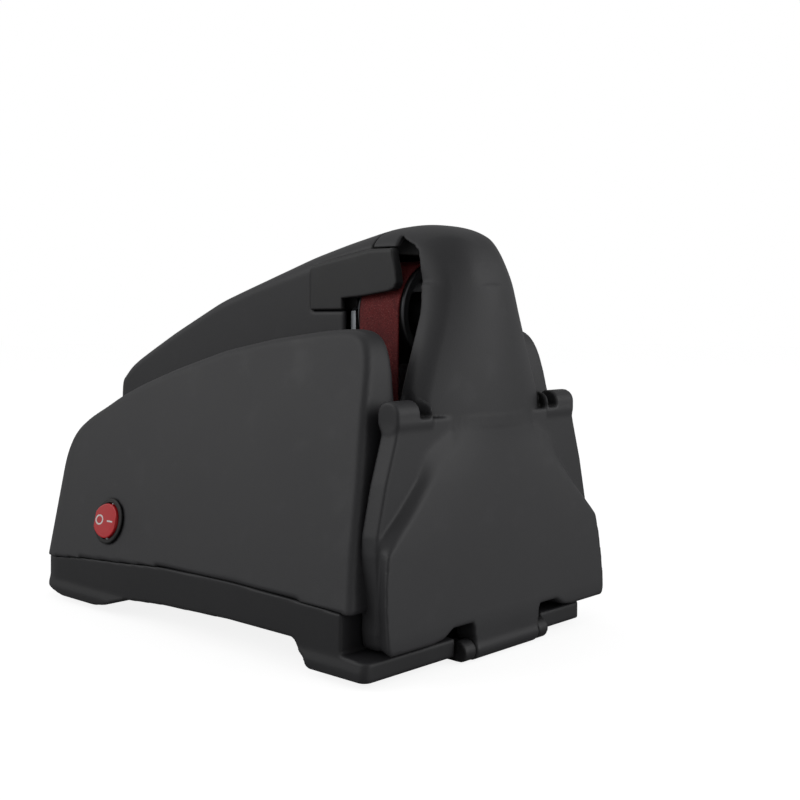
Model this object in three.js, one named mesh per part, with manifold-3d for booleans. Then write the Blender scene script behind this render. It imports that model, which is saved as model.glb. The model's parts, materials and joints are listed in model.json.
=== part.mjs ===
// Electric belt knife sharpener, in millimetres.
// +X points to the front door, -Y to the side with the switch, +Z up.
// The origin is the centre of the footprint, on the surface that the sharpener stands on.
// Places along the body are distances behind the front edge of the tray, turned into X by back().
// Heights are measured from the tray's lower edge, which the rubber feet hold above the surface.

import * as THREE from "three";
import { mergeVertices } from "three/addons/utils/BufferGeometryUtils.js";
import Module from "manifold-3d";

const wasm = await Module();
wasm.setup();

// Whole body
const BODY_LENGTH = 257; // front edge of the tray to its rear wall
const BASE_LIFT = 3; // height of the tray's lower edge above the surface
const FOOT_HALF_WIDTH = 85.5;
const SEAM_STEP = 1.8; // the housing is this much narrower at the seam, on each side
const SEAM_HALF_WIDTH = FOOT_HALF_WIDTH - SEAM_STEP;
const SEAM_CROWN = 28; // highest point of the arched seam between tray and housing
const SEAM_GAP = 0.4;
const REAR_STEP = 0.6; // the tray stands this far behind the housing
const WALL_TOP = 140; // top of the two outer guide walls
const RIDGE_TOP = 187.5; // top of the dome at the front of the centre ridge
const TOP_HALF_WIDTH = 57.6; // outer face of a guide wall at WALL_TOP
const REAR_CORNER = 30; // plan radius of the two rear corners
// Places measured forward from the rear edge of the tray
const FROM_REAR = { rounding: 32, foot: 48, screw: 43, board: 35, switch: 72.4, inlet: 2.1 };
const FRONT_CORNER = 4; // plan radius of the walls' front edges
const CORNER_STEPS = { front: 4, rear: 7 }; // facets round each corner
const CUT = 5; // overrun of every cutting solid
const GAP = 0.3; // between pieces that touch
const BORE_GAP = 0.15; // around a round bar in its bore
const SINK = 1; // how far one solid reaches into the next one that it is joined to

// Shell and knife slots
const SKIN = 2.8;
const RIDGE_HALF_WIDTH = 26;
const RIDGE_FOOT = 40; // the ridge runs down the rear wall to this height
const CROWN_DROP = 11; // the ridge's top falls this far from its middle to its edges
const SLOT_WIDTH = 20;
const SLOT_FLOOR = 100;
const SLOT_FLOOR_REAR = 78;
const SLOT_LEVEL_LENGTH = 130; // the slot floor is level this far back, then falls
const WALL_INNER = RIDGE_HALF_WIDTH + SLOT_WIDTH;
const WALL_FRONT_END = 36; // the rising front edge of the walls ends here
const WALL_REAR_START = BODY_LENGTH - FROM_REAR.rounding; // the rounded rear starts here
const ROOM = 2; // play beside the belt's open space

// Window in the ridge, with the guard over the top roller
const NOSE_EDGE = 22.4; // rear edge of the door's nose
const ROOF_SEAM = 55; // where the door's roof meets the housing
const WINDOW_REAR = 72.5;
const GUARD = { front: 37.8, rear: 93.8, proud: 1.2, thick: 2.6, lowRear: 148.5, top: 176, topRear: 170 };
const GUARD_LIP = { rear: 42.8, thick: 5 }; // the thick front edge of its cheeks

// Belt drive
const BELT = { width: 24.4, thick: 1.2, middle: 51.3 };
const BELT_STEPS = { top: 10, pulley: 10 }; // facets of half the belt around each wheel
const TOP_ROLLER = { radius: 23, y: 0, z: 146.4, web: 5, rim: 4, hub: 10.5 };
const PULLEY = { radius: 24, y: 0, z: 62, web: 5, rim: 4, hub: 9 };
const ROLLER_LENGTH = 27.6;
const FLANGE = { radius: 1, width: 1.3 }; // stands proud of a roller at its rear end
const AXLE = { radius: 3, groove: 2, collar: 5, collarLength: 1.6, end: 1, nose: 3.2 };
const BEARING = { radius: 7, width: 6, inset: 1, seat: 7.5 };
const CLIP = { bore: 2.3, radius: 5, width: 1 };
const ROLLER_BORE = 4.2;
const TENSION_TRAVEL = 3.5;

// Frame plate behind the belt, with the block that slides on it
const PLATE = { front: 68, thick: 3, low: 14.5, top: 158, peak: 6 };
const PLATE_SIDES = { wide: 42, neck: 22.4, shoulder: 93, bevel: 10 };
const PLATE_FLANGE = { depth: 16, thick: 3 };
const SLIDE_BLOCK = { halfWidth: 9, low: 117.5, high: 154.5, thick: 9 };
const RAIL = { wide: 4, low: 119, high: 139, depth: 3 };
const SPRING = { radius: 4, bore: 2.8, seat: 95.5, seatThick: 2.5, seatHalf: 8, seatReach: 4 };
const PLATE_SCREW = { back: 80.6, y: 32 };

// Motor behind the plate
const SHAFT_RADIUS = 4;
const SHAFT_END = 3; // the shaft stands this far out of the pulley and of the fan
const MOTOR = { radius: 29, wall: 3, length: 62, cap: 6, bossRadius: 11, bossDepth: 2, screwY: 19 };
const MOTOR_BEARING = { radius: 9, inset: 0.5 };
const ARMATURE = { radius: 20.5, length: 32, front: 8, slots: 10, slotRadius: 2, slotAt: 19 };
const COMMUTATOR = { radius: 9, length: 9, gap: 3 };
const MAGNET = { thick: 3.6, spanShare: 0.3, steps: 8 };
const BRUSH = { width: 6, length: 15 };
const NUT = { wide: 8, length: 2.4, sides: 6 };
const FAN = { radius: 24, disc: 2, depth: 9, hub: 8, blades: 9, blade: 1.6, gap: 3 };

// Front door
const DOOR_LEVEL = 103; // its top edge in front of the slots
const DOOR_REAR = 14;
const DOOR_SKIN = 2.6;
const DOOR_RIM = { side: 6, low: 8, high: 7 }; // width of the rim around its hollow back
const RECESS_FLOOR = 4.5; // front face of its rear layer
const PANEL_REAR = 5.2; // the front layer's sloping sides end here
const NOSE_LOW = 97; // the nose rises from here
const NOSE_SKIN = 3.1;
const DOOR_STEPS = 12; // facets across its bowed front
const EAR = { inner: 40, outer: 61.8, low: 96.5, high: 110.5, front: 4, rear: 16 };
const EAR_ROUND = { front: 7, rear: 4, steps: 4 };
const NOTCH = { inner: 41.2, outer: 48, rear: 20 }; // the narrow end of a knife slot, beside the ear
const HINGE = { back: -0.6, z: 2.1, radius: 5, lugRadius: 4.7, pin: 1.8, bore: 2.1, armTop: 5.5, steps: 10 };
const TONGUE = { halfWidth: 22.2, rear: 3.4, top: 18, front: -4.2 };
const LUG = { halfWidth: 29.6, wall: 1.5 };
const DOOR_WAVE = 14.2; // the door's lower edge is raised to here beside the tongue
const WAVE_POINTS = 4; // points of the door's outline in its wave
const OUTLINE_SIDE = 5; // the outline's sides start at this point

// Tray
const TRAY = { front: 15, step: 1.1, topStep: 0.6, floor: 14, ledge: 8, ledgeRear: 9 };
const FAR_CORNER = 60.8; // the far front corner is cut off from here
const HINGE_ROOM = { halfWidth: 30.6, rear: 13, top: 16 };
// Places of the screws and feet measured inward from the tray's widest line, and back from its front edge
const FROM_SIDE = { frontScrew: 18.5, rearScrew: 27.5, nearFoot: 23.5, farFoot: 35.5, rearFoot: 19.5 };
const FROM_FRONT = { screw: 38, foot: 20 };
const BASE_SCREWS = [
  [FROM_FRONT.screw, FOOT_HALF_WIDTH - FROM_SIDE.frontScrew],
  [BODY_LENGTH - FROM_REAR.screw, FOOT_HALF_WIDTH - FROM_SIDE.rearScrew],
];
const POST = { radius: 4.6, low: 16, high: 98, boardRadius: 3.4 };
const SCREW = { radius: 1.6, head: 3.6, headHeight: 2.2, length: 19, bite: 0.5 };
const RUBBER_FOOT = { radius: 8, top: 3 };
const REAR_FOOT = BODY_LENGTH - FROM_REAR.foot;
const FOOT_PLACES = [
  [FROM_FRONT.foot, FROM_SIDE.nearFoot - FOOT_HALF_WIDTH],
  [FROM_FRONT.foot, FOOT_HALF_WIDTH - FROM_SIDE.farFoot],
  [REAR_FOOT, FROM_SIDE.rearFoot - FOOT_HALF_WIDTH],
  [REAR_FOOT, FOOT_HALF_WIDTH - FROM_SIDE.rearFoot],
];

// Switch, power inlet and board
const SWITCH = { back: BODY_LENGTH - FROM_REAR.switch, z: 43.2, bezel: 11.5, body: 9.9, proud: 1.6, depth: 22 };
const SWITCH_WELL = { radius: 9.1, depth: 6 };
const ROCKER = { radius: 8.6, top: 4, low: 3.4, tip: 6, dish: 44 }; // tip in degrees
const ROCKER_PIN = { radius: 1, half: 9.2, bore: 1.3, depth: 0.5 };
const INLET = { y: 22, z: 46, halfWidth: 13, halfHeight: 9.5, depth: 20, flange: 1.7, edge: 2.5, wall: 3.2 };
const INLET_BOSS = { rear: BODY_LENGTH - FROM_REAR.inlet, depth: 6.9, edge: 4.5 };
const INLET_PIN = { radius: 1.6, inner: 3, outer: 2.5, pitch: 8.6 };
const BOARD_LENGTH = 50;
const BOARD_REAR = BODY_LENGTH - FROM_REAR.board;
const BOARD = {
  front: BOARD_REAR - BOARD_LENGTH, rear: BOARD_REAR, near: -18, far: 44, z: 19.2, thick: 1.6, postInset: 5,
};
const TERMINAL = { front: 4, length: 10, near: 8, far: 36, high: 12, hole: 1.8, holeZ: 5, holeDepth: 5 };
const TERMINAL_HOLES = [14, 22, 30];
const CAPACITOR = { radius: 7, front: 24, rear: 44, inset: 12 };
const LEAD = { radius: 1.8, sides: 8, steps: 24, rise: 8 };

// Numbers of facets on round pieces
const SMALL = 12;
const MIDDLE = 20;
const ROUND = 28;
const WIDE = 40;
const BROAD = 160;

// Shares of BODY_LENGTH and WALL_TOP: side view of the housing, from the front over the walls to the rear
const wallProfileShares = [
  [0.036, 0.17], [0.0514, 0.327], [0.0638, 0.556], [0.0735, 0.676], [0.0786, 0.757], [0.0833, 0.857],
  [0.0887, 0.918], [0.098, 0.963], [0.1148, 0.992], [0.1463, 1], [0.2097, 0.993], [0.334, 0.966],
  [0.462, 0.925], [0.597, 0.858], [0.7, 0.797], [0.765, 0.75], [0.808, 0.709], [0.856, 0.6685],
  [0.885, 0.6335], [0.907, 0.6], [0.928, 0.55], [0.951, 0.488], [0.97, 0.4285], [0.992, 0.27], [1.01, 0.1],
];
// Shares of BODY_LENGTH and SEAM_CROWN
const seamShares = [
  [-0.03, 0.9], [0.035, 0.911], [0.183, 0.968], [0.324, 1], [0.446, 0.989], [0.537, 0.971], [0.681, 0.868],
  [0.798, 0.8], [0.912, 0.693], [1.03, 0.58],
];
// Shares of BODY_LENGTH and SEAM_CROWN: underside of the tray, from the front foot over the arch to the rear
const undersideShares = [
  [0, 0], [0.137, 0], [0.139, 0.136], [0.156, 0.218], [0.168, 0.393], [0.34, 0.396], [0.53, 0.332],
  [0.648, 0.246], [0.715, 0.054], [0.753, 0], [0.869, 0], [0.906, 0.066], [1.03, 0.12],
];
// Shares of BODY_LENGTH and RIDGE_TOP: middle of the ridge's top, from the nose to the rear
const ridgeLineShares = [
  [0.01, 0.851], [0.0214, 0.904], [0.034, 0.935], [0.0467, 0.957], [0.065, 0.975], [0.0856, 0.987],
  [0.11, 0.995], [0.14, 1], [0.183, 0.997], [0.21, 0.993], [0.261, 0.978], [0.307, 0.965], [0.393, 0.937],
  [0.525, 0.881], [0.648, 0.832], [0.802, 0.747], [0.903, 0.685], [0.949, 0.655], [0.973, 0.633],
  [0.9845, 0.598], [0.991, 0.55], [0.993, 0.42],
];
// Shares of BODY_LENGTH and CROWN_DROP
const crownDropShares = [[0, 2.4], [0.06, 2.3], [0.14, 1.6], [0.25, 1.1], [0.39, 1], [0.52, 0.64], [1, 0.64]];
// Shares of RIDGE_HALF_WIDTH and of the crown's drop: half of the ridge's top, from its edge to its middle
const crownShares = [[1, 1], [0.97, 0.74], [0.9, 0.5], [0.8, 0.33], [0.62, 0.17], [0.35, 0.05], [0, 0]];
// Shares of RIDGE_TOP, FOOT_HALF_WIDTH, DOOR_REAR, DOOR_REAR and FOOT_HALF_WIDTH: the door's front layer,
// by height, half-width of the face, place of the face's middle, its bow, and half-width at PANEL_REAR
const panelShares = [
  [0.0524, 0.88, -0.33, 0.03, 0.828], [0.0642, 0.896, -0.35, 0.03, 0.842],
  [0.0856, 0.899, -0.357, 0.03, 0.846], [0.15, 0.897, -0.286, 0.043, 0.85],
  [0.214, 0.883, -0.214, 0.057, 0.848], [0.267, 0.858, -0.157, 0.071, 0.85],
  [0.289, 0.801, -0.157, 0.071, 0.865], [0.305, 0.766, -0.171, 0.057, 0.83],
  [0.348, 0.658, -0.157, 0.057, 0.73], [0.412, 0.527, -0.057, 0.1, 0.6],
  [0.449, 0.468, -0.021, 0.143, 0.566], [0.487, 0.423, 0, 0.243, 0.55],
  [0.52, 0.404, 0.014, 0.36, 0.553], [0.548, 0.398, 0.014, 0.447, 0.56],
];
// Shares of RIDGE_TOP, FOOT_HALF_WIDTH, DOOR_REAR and DOOR_REAR: the nose by height, half-width, middle and bow
const noseShares = [
  [0.516, 0.515, 0.014, 0.7], [0.58, 0.5, 0.014, 0.75], [0.647, 0.452, 0.03, 0.786],
  [0.704, 0.405, 0.06, 0.786], [0.75, 0.37, 0.09, 0.786], [0.789, 0.338, 0.12, 0.786],
  [0.858, 0.304, 0.2, 0.82], [0.9, 0.304, 0.36, 1], [0.94, 0.304, 0.55, 1.35],
  [1.02, 0.304, 0.8, 2],
];
// Shares of NOSE_EDGE and RIDGE_TOP: rear edge of the nose at the window
const noseEdgeShares = [
  [0.973, 0.78], [0.987, 0.8], [1.085, 0.86], [1.183, 0.908],
  [1.246, 0.928], [1.375, 0.941], [1.638, 0.955], [1.804, 0.967],
];
// Shares of FOOT_HALF_WIDTH and RIDGE_TOP: front view of the door's rear layer, one side
const doorOutlineShares = [
  [0.36, 0.076], [0.43, 0.076], [0.5, 0.0575], [0.585, 0.0524], [0.84, 0.0524], [0.856, 0.064],
  [0.862, 0.09], [0.862, 0.17], [0.866, 0.26], [0.86, 0.3], [0.8, 0.41], [0.735, 0.5],
  [0.705, 0.548],
];
// Shares of GUARD.rear and GUARD.top: lower and front edge of a guard cheek, from the window's rear corner
const guardShares = [
  [0.773, 0.873], [0.616, 0.879], [0.457, 0.8895], [0.42, 0.896],
  [0.403, 0.911], [0.4105, 0.938], [0.431, 0.98], [0.4355, 0.998],
];

const axes = [0, 1, 2].map((k) => new THREE.Vector3().setComponent(k, 1));
const frontReach = HINGE.radius - HINGE.back; // the hinge stands this far in front of the tray
const back = (distance) => (BODY_LENGTH - frontReach) / 2 - distance;
const inX = (points) => points.map(([s, z]) => [back(s), z]);
const scaled = (shares, length, height) => shares.map(([s, h]) => [s * length, h * height]);

// A closed geometry as a solid with its faces out.
function solid(geometry) {
  const bare = (geometry.index ? geometry.toNonIndexed() : geometry).clone();
  bare.deleteAttribute("normal");
  bare.deleteAttribute("uv");
  const merged = mergeVertices(bare);
  const triangles = [];
  for (let i = 0; i < merged.index.count; i += 3) {
    const [a, b, c] = [0, 1, 2].map((k) => merged.index.getX(i + k));
    if (a !== b && b !== c && c !== a) triangles.push([a, b, c]);
  }
  const build = (list) => {
    const vertProperties = new Float32Array(merged.attributes.position.array);
    const triVerts = new Uint32Array(list.flat());
    return new wasm.Manifold(new wasm.Mesh({ numProp: 3, vertProperties, triVerts }));
  };
  const made = build(triangles);
  return made.volume() < 0 ? build(triangles.map(([a, b, c]) => [c, b, a])) : made;
}

// A solid back as three.js geometry.
function geometryOf(body) {
  const mesh = body.getMesh();
  const positions = new Float32Array(mesh.numVert * 3);
  for (let i = 0; i < mesh.numVert; i++) {
    const start = i * mesh.numProp;
    positions.set(mesh.vertProperties.subarray(start, start + 3), i * 3);
  }
  return new THREE.BufferGeometry()
    .setAttribute("position", new THREE.BufferAttribute(positions, 3))
    .setIndex(new THREE.BufferAttribute(new Uint32Array(mesh.triVerts), 1));
}

const union = (bodies) => bodies.reduce((whole, body) => whole.add(body));
const without = (body, cuts) => cuts.reduce((whole, cut) => whole.subtract(cut), body);
const bothSides = (make) => [-1, 1].map((side) => make(side));
const ordered = (a, b) => [Math.min(a, b), Math.max(a, b)];

function extruded(points, depth) {
  const shape = new THREE.Shape(points.map(([u, v]) => new THREE.Vector2(u, v)));
  return new THREE.ExtrudeGeometry(shape, { depth, bevelEnabled: false });
}

// Outline in Y and Z, drawn out along X.
function prismX(points, x0, x1) {
  const [low, high] = ordered(x0, x1);
  const turn = new THREE.Matrix4().makeBasis(axes[1], axes[2], axes[0]);
  return solid(extruded(points, high - low).applyMatrix4(turn).translate(low, 0, 0));
}

// Outline in X and Z, drawn out along Y.
function prismY(points, y0, y1) {
  const [low, high] = ordered(y0, y1);
  return solid(extruded(points, high - low).rotateX(Math.PI / 2).translate(0, high, 0));
}

// Outline in X and Y, drawn out along Z.
function prismZ(points, z0, z1) {
  return solid(extruded(points, z1 - z0).translate(0, 0, z0));
}

function block([x0, x1], [y0, y1], [z0, z1]) {
  const box = new THREE.BoxGeometry(Math.abs(x1 - x0), Math.abs(y1 - y0), Math.abs(z1 - z0));
  return solid(box.translate((x0 + x1) / 2, (y0 + y1) / 2, (z0 + z1) / 2));
}

const along = (from, to) => [back(from), back(to)];
const around = (middle, half) => [middle - half, middle + half];

// Round bars along each axis, between two places on it.
function rodX(radius, [x0, x1], y, z, facets = MIDDLE) {
  const bar = new THREE.CylinderGeometry(radius, radius, Math.abs(x1 - x0), facets);
  return solid(bar.rotateZ(Math.PI / 2).translate((x0 + x1) / 2, y, z));
}
function rodY(radius, [y0, y1], x, z, facets = MIDDLE) {
  const bar = new THREE.CylinderGeometry(radius, radius, Math.abs(y1 - y0), facets);
  return solid(bar.translate(x, (y0 + y1) / 2, z));
}
function rodZ(radius, [z0, z1], x, y, facets = MIDDLE) {
  const bar = new THREE.CylinderGeometry(radius, radius, Math.abs(z1 - z0), facets);
  return solid(bar.rotateX(Math.PI / 2).translate(x, y, (z0 + z1) / 2));
}

// A piece turned about X: its profile lists radius and distance towards the front from a place on the body.
function turnedX(profile, from, { y, z }, facets = ROUND) {
  const lathe = new THREE.LatheGeometry(profile.map(([r, t]) => new THREE.Vector2(r, t)), facets);
  return solid(lathe.rotateZ(-Math.PI / 2).translate(back(from), y, z));
}

// A plain ring about X between two places on the body.
function ringX(bore, radius, front, rear, spot, facets = ROUND) {
  const length = rear - front;
  return turnedX([[bore, 0], [radius, 0], [radius, length], [bore, length], [bore, 0]], rear, spot, facets);
}

// Rings of equal length joined into one closed skin, with a fan over each end.
function loft(rings) {
  const size = rings[0].length;
  const positions = rings.flat(2);
  const middle = (ring) => [0, 1, 2].map((k) => ring.reduce((sum, p) => sum + p[k], 0) / size);
  const first = positions.length / 3;
  positions.push(...middle(rings[0]), ...middle(rings[rings.length - 1]));
  const index = [];
  for (let r = 0; r + 1 < rings.length; r++)
    for (let i = 0; i < size; i++) {
      const [a, b] = [r * size + i, r * size + ((i + 1) % size)];
      index.push(a, b, b + size, a, b + size, a + size);
    }
  const last = (rings.length - 1) * size;
  for (let i = 0; i < size; i++) {
    const next = (i + 1) % size;
    index.push(first, next, i, first + 1, last + i, last + next);
  }
  const geometry = new THREE.BufferGeometry();
  geometry.setAttribute("position", new THREE.BufferAttribute(new Float32Array(positions), 3));
  return solid(geometry.setIndex(index));
}

// The value of a line of points at a place along it.
function valueAt(points, place) {
  const next = points.findIndex((p) => p[0] >= place);
  if (next === 0) return points[0][1];
  if (next < 0) return points[points.length - 1][1];
  const [[x0, y0], [x1, y1]] = [points[next - 1], points[next]];
  return y0 + ((y1 - y0) * (place - x0)) / (x1 - x0);
}

// Points on an arc about a middle, with angles in radians.
function arcPoints([u, v], radius, from, to, steps) {
  const points = [];
  for (let i = 0; i <= steps; i++) {
    const angle = from + ((to - from) * i) / steps;
    points.push([u + radius * Math.cos(angle), v + radius * Math.sin(angle)]);
  }
  return points;
}

// The main lines of the body.
const seamLine = scaled(seamShares, BODY_LENGTH, SEAM_CROWN);
const ridgeLine = scaled(ridgeLineShares, BODY_LENGTH, RIDGE_TOP);
const crownDrop = scaled(crownDropShares, BODY_LENGTH, CROWN_DROP);
const wallProfile = scaled(wallProfileShares, BODY_LENGTH, WALL_TOP);
const ridgeRear = ridgeLine[ridgeLine.length - 1][0];
const wallFront = wallProfile.filter(([s]) => s < WALL_FRONT_END).map(([s, z]) => [z, s]);
const sideLean = (SEAM_HALF_WIDTH - TOP_HALF_WIDTH) / (WALL_TOP - SEAM_CROWN);
const leanAngle = Math.atan(sideLean);
const halfWidthAt = (z) => SEAM_HALF_WIDTH - sideLean * (z - SEAM_CROWN);
const slotFall = (SLOT_FLOOR - SLOT_FLOOR_REAR) / (BODY_LENGTH - SLOT_LEVEL_LENGTH);
const slotFloorAt = (s) => SLOT_FLOOR - slotFall * Math.max(0, s - SLOT_LEVEL_LENGTH);
const pastRear = BODY_LENGTH + CUT * 2;
const fullWidth = around(0, FOOT_HALF_WIDTH + CUT);

// Plan outline of the body at one height, with rounded corners.
function planRing(halfWidth, rear, z, inset, front = -CUT) {
  const radius = REAR_CORNER - inset;
  const half = halfWidth - inset;
  const frontMiddle = [front + FRONT_CORNER, half - FRONT_CORNER];
  const rearMiddle = [rear - inset - radius, half - radius];
  const frontArc = arcPoints(frontMiddle, FRONT_CORNER, Math.PI, Math.PI / 2, CORNER_STEPS.front);
  const far = [...frontArc, ...arcPoints(rearMiddle, radius, Math.PI / 2, 0, CORNER_STEPS.rear)];
  const near = [...far].reverse().map(([s, y]) => [s, -y]);
  return [...far, ...near].map(([s, y]) => [back(s), y, z]);
}

// Side view of the housing; the inset gives its cavity, which runs out at the front below the slots.
function sideView(inset) {
  const last = wallProfile[wallProfile.length - 1][0];
  if (inset === 0) return [[-CUT, 0], [-CUT, wallProfile[0][1]], ...wallProfile, [last, 0]];
  const front = valueAt(wallFront, SLOT_FLOOR) + inset;
  const low = SLOT_FLOOR - inset;
  const shift = (s) => (s < WALL_FRONT_END ? inset : s > WALL_REAR_START ? -inset : 0);
  const upper = wallProfile.filter(([s, z]) => z > SLOT_FLOOR || s > WALL_FRONT_END);
  const over = upper.map(([s, z]) => [s + shift(s), z - inset]);
  return [[-CUT, 0], [-CUT, low], [front, low], ...over, [last - inset, 0]];
}

// Everything inside the leaning sides and the rounded rear, cut to the side view.
function bodyForm(inset) {
  const rear = BODY_LENGTH - REAR_STEP;
  const levels = inset === 0 ? wallFront : [[0, -CUT], [WALL_TOP, -CUT]];
  const ends = [[0, levels[0][1]], ...levels, [WALL_TOP + CUT, levels[levels.length - 1][1]]];
  const rings = ends.map(([z, front]) => planRing(halfWidthAt(z), rear, z, inset, front));
  return loft(rings).intersect(prismY(inX(sideView(inset)), ...fullWidth));
}

// Section across the ridge at one place, from its foot over the crown.
function ridgeRing(s, top, inset) {
  const drop = valueAt(crownDrop, s);
  const half = RIDGE_HALF_WIDTH - inset;
  const crown = crownShares.map(([y, d]) => [y * half, top - inset - d * drop]);
  const far = [[half, RIDGE_FOOT + inset], ...crown];
  const near = [...far.slice(0, -1)].reverse().map(([y, z]) => [-y, z]);
  return [...far, ...near].map(([y, z]) => [back(s), y, z]);
}

// The tall centre ridge between two places, solid.
function ridgeForm(from, to, inset) {
  const middle = ridgeLine.filter(([s]) => s > from && s < to);
  const stations = [[from, valueAt(ridgeLine, from)], ...middle, [to, valueAt(ridgeLine, to)]];
  return loft(stations.map(([s, z]) => ridgeRing(s, z, inset)));
}

// A knife slot as a cutting solid, grown by the skin for the cavity around it.
function slotSpace(side, grow) {
  const floor = [-CUT, SLOT_LEVEL_LENGTH, pastRear].map((s) => [s, slotFloorAt(s) - grow]);
  const outline = inX([...floor, [pastRear, RIDGE_TOP], [-CUT, RIDGE_TOP]]);
  return prismY(outline, (RIDGE_HALF_WIDTH - grow) * side, (WALL_INNER + grow) * side);
}

const guardTop = [[GUARD.front, GUARD.top], [ROOF_SEAM, GUARD.top], [GUARD.rear, GUARD.topRear]];
const guardTopAt = (s) => valueAt(guardTop, s);
const windowSides = around(0, RIDGE_HALF_WIDTH + ROOM);

// The open space around the belt, between the nose and the rear edge of the window.
function windowSpace() {
  const [low, high] = [SLOT_FLOOR - SKIN * 2, RIDGE_TOP + CUT];
  const roof = ROOF_SEAM + GAP;
  const top = [roof, WINDOW_REAR].map((s) => [s, guardTopAt(s) + GAP]);
  return prismY(inX([[-CUT, low], [-CUT, high], [roof, high], ...top, [WINDOW_REAR, low]]), ...windowSides);
}

// Where the cheeks of the guard sit in the sides of the ridge.
function guardPocket() {
  const [front, rear, low] = [WINDOW_REAR - CUT, GUARD.rear + GAP, GUARD.lowRear - GAP];
  const top = [rear, front].map((s) => [s, guardTopAt(s) + GAP]);
  return prismY(inX([[front, low], [rear, low], ...top]), ...windowSides);
}

// The slot floors stop behind the nose and beside the belt.
function frontSpace() {
  const heights = [SLOT_FLOOR - SKIN * 2, SLOT_FLOOR + CUT];
  const atBelt = block(along(-CUT, WINDOW_REAR), windowSides, heights);
  return atBelt.add(block(along(-CUT, NOSE_EDGE + GAP * 2), around(0, NOTCH.outer), heights));
}

const screwSpots = BASE_SCREWS.flatMap(([s, y]) => bothSides((side) => [back(s), side * y]));
const footSpots = FOOT_PLACES.map(([s, y]) => [back(s), y]);

function makeHousing() {
  const slots = bothSides((side) => slotSpace(side, 0));
  const grownSlots = bothSides((side) => slotSpace(side, SKIN));
  const outer = without(bodyForm(0), slots).add(ridgeForm(ROOF_SEAM, ridgeRear, 0)).add(inletBoss());
  const inner = without(bodyForm(SKIN), grownSlots).add(ridgeForm(ROOF_SEAM - CUT, ridgeRear - SKIN, SKIN));
  const seam = seamLine.map(([s, z]) => [s, z + SEAM_GAP / 2]);
  const last = seam[seam.length - 1][0];
  const below = prismY(inX([...seam, [last, -CUT], [seam[0][0], -CUT]]), ...fullWidth);
  const posts = screwSpots.map(([x, y]) => rodZ(POST.radius, [POST.low, POST.high], x, y, SMALL));
  const boreHeights = [0, POST.low + SCREW.length];
  const bores = screwSpots.map(([x, y]) => rodZ(SCREW.radius + GAP, boreHeights, x, y, SMALL));
  const shell = without(outer, [inner, below]).add(union(posts).intersect(bodyForm(SINK)));
  return without(shell, [windowSpace(), guardPocket(), frontSpace(), ...bores, switchHole(), inletHole()]);
}

// Turns a piece made about the Z axis so that it stands square to the near side wall, at the switch.
function atSwitch(body) {
  const turned = geometryOf(body).rotateX(Math.PI / 2 - leanAngle);
  return solid(turned.translate(back(SWITCH.back), -halfWidthAt(SWITCH.z), SWITCH.z));
}

function switchHole() {
  return atSwitch(rodZ(SWITCH.body + GAP, [-SWITCH.depth, CUT], 0, 0, ROUND));
}

const acrossSwitch = around(0, SWITCH.bezel);

function makeSwitchBezel() {
  const rim = rodZ(SWITCH.bezel, [GAP, SWITCH.proud], 0, 0, WIDE);
  const body = rodZ(SWITCH.body, [-SWITCH.depth, SWITCH.proud], 0, 0, ROUND);
  const well = rodZ(SWITCH_WELL.radius, [-SWITCH_WELL.depth, SWITCH.proud + CUT], 0, 0, ROUND);
  const bore = rodY(ROCKER_PIN.bore, around(0, ROCKER_PIN.half + GAP), 0, -ROCKER_PIN.depth, SMALL);
  return atSwitch(without(rim.add(body), [well, bore]));
}

// The rocker rests with its front half pressed in.
function makeRocker() {
  const disc = rodZ(ROCKER.radius, [-ROCKER.low, ROCKER.top], 0, 0, ROUND);
  const round = rodY(ROCKER.radius + BORE_GAP, acrossSwitch, 0, -ROCKER_PIN.depth, WIDE);
  const dish = rodY(ROCKER.dish, acrossSwitch, 0, ROCKER.top - SINK + ROCKER.dish, BROAD);
  const bore = rodY(ROCKER_PIN.radius + BORE_GAP, acrossSwitch, 0, -ROCKER_PIN.depth, SMALL);
  const level = geometryOf(without(disc.intersect(round), [dish, bore])).translate(0, 0, ROCKER_PIN.depth);
  const tipped = level.rotateY(THREE.MathUtils.degToRad(ROCKER.tip)).translate(0, 0, -ROCKER_PIN.depth);
  return atSwitch(solid(tipped));
}

function makeRockerPin() {
  return atSwitch(rodY(ROCKER_PIN.radius, around(0, ROCKER_PIN.half), 0, -ROCKER_PIN.depth, SMALL));
}

const inletSides = (grow) => [
  around(INLET.y, INLET.halfWidth + grow),
  around(INLET.z, INLET.halfHeight + grow),
];
const inletFront = INLET_BOSS.rear + GAP; // front face of the inlet's flange
const inletInside = inletFront - INLET.depth;
const inletPinSpots = bothSides((side) => ({ y: INLET.y + (side * INLET_PIN.pitch) / 2, z: INLET.z }));

// Flat raised field around the power inlet.
function inletBoss() {
  const { rear, depth, edge } = INLET_BOSS;
  return block(along(rear - depth, rear), ...inletSides(edge));
}

function inletHole() {
  const field = block(along(INLET_BOSS.rear, pastRear), ...inletSides(INLET_BOSS.edge));
  return field.add(block(along(inletInside - GAP, pastRear), ...inletSides(GAP)));
}

function makeInlet() {
  const body = block(along(inletInside, inletFront + SINK), ...inletSides(0));
  const flange = block(along(inletFront, inletFront + INLET.flange), ...inletSides(INLET.edge));
  const socket = along(inletInside + INLET.wall, pastRear);
  const sockets = inletPinSpots.map(({ y, z }) => rodX(INLET.halfHeight - INLET.wall, socket, y, z));
  const bores = inletPinSpots.map(({ y, z }) =>
    rodX(INLET_PIN.radius + BORE_GAP, along(inletInside - CUT, inletInside + CUT), y, z, SMALL));
  return without(body.add(flange), [...sockets, ...bores]);
}

function makeInletPin({ y, z }) {
  const reach = along(inletInside - INLET_PIN.inner, inletFront - INLET_PIN.outer);
  return rodX(INLET_PIN.radius, reach, y, z, SMALL);
}

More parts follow.
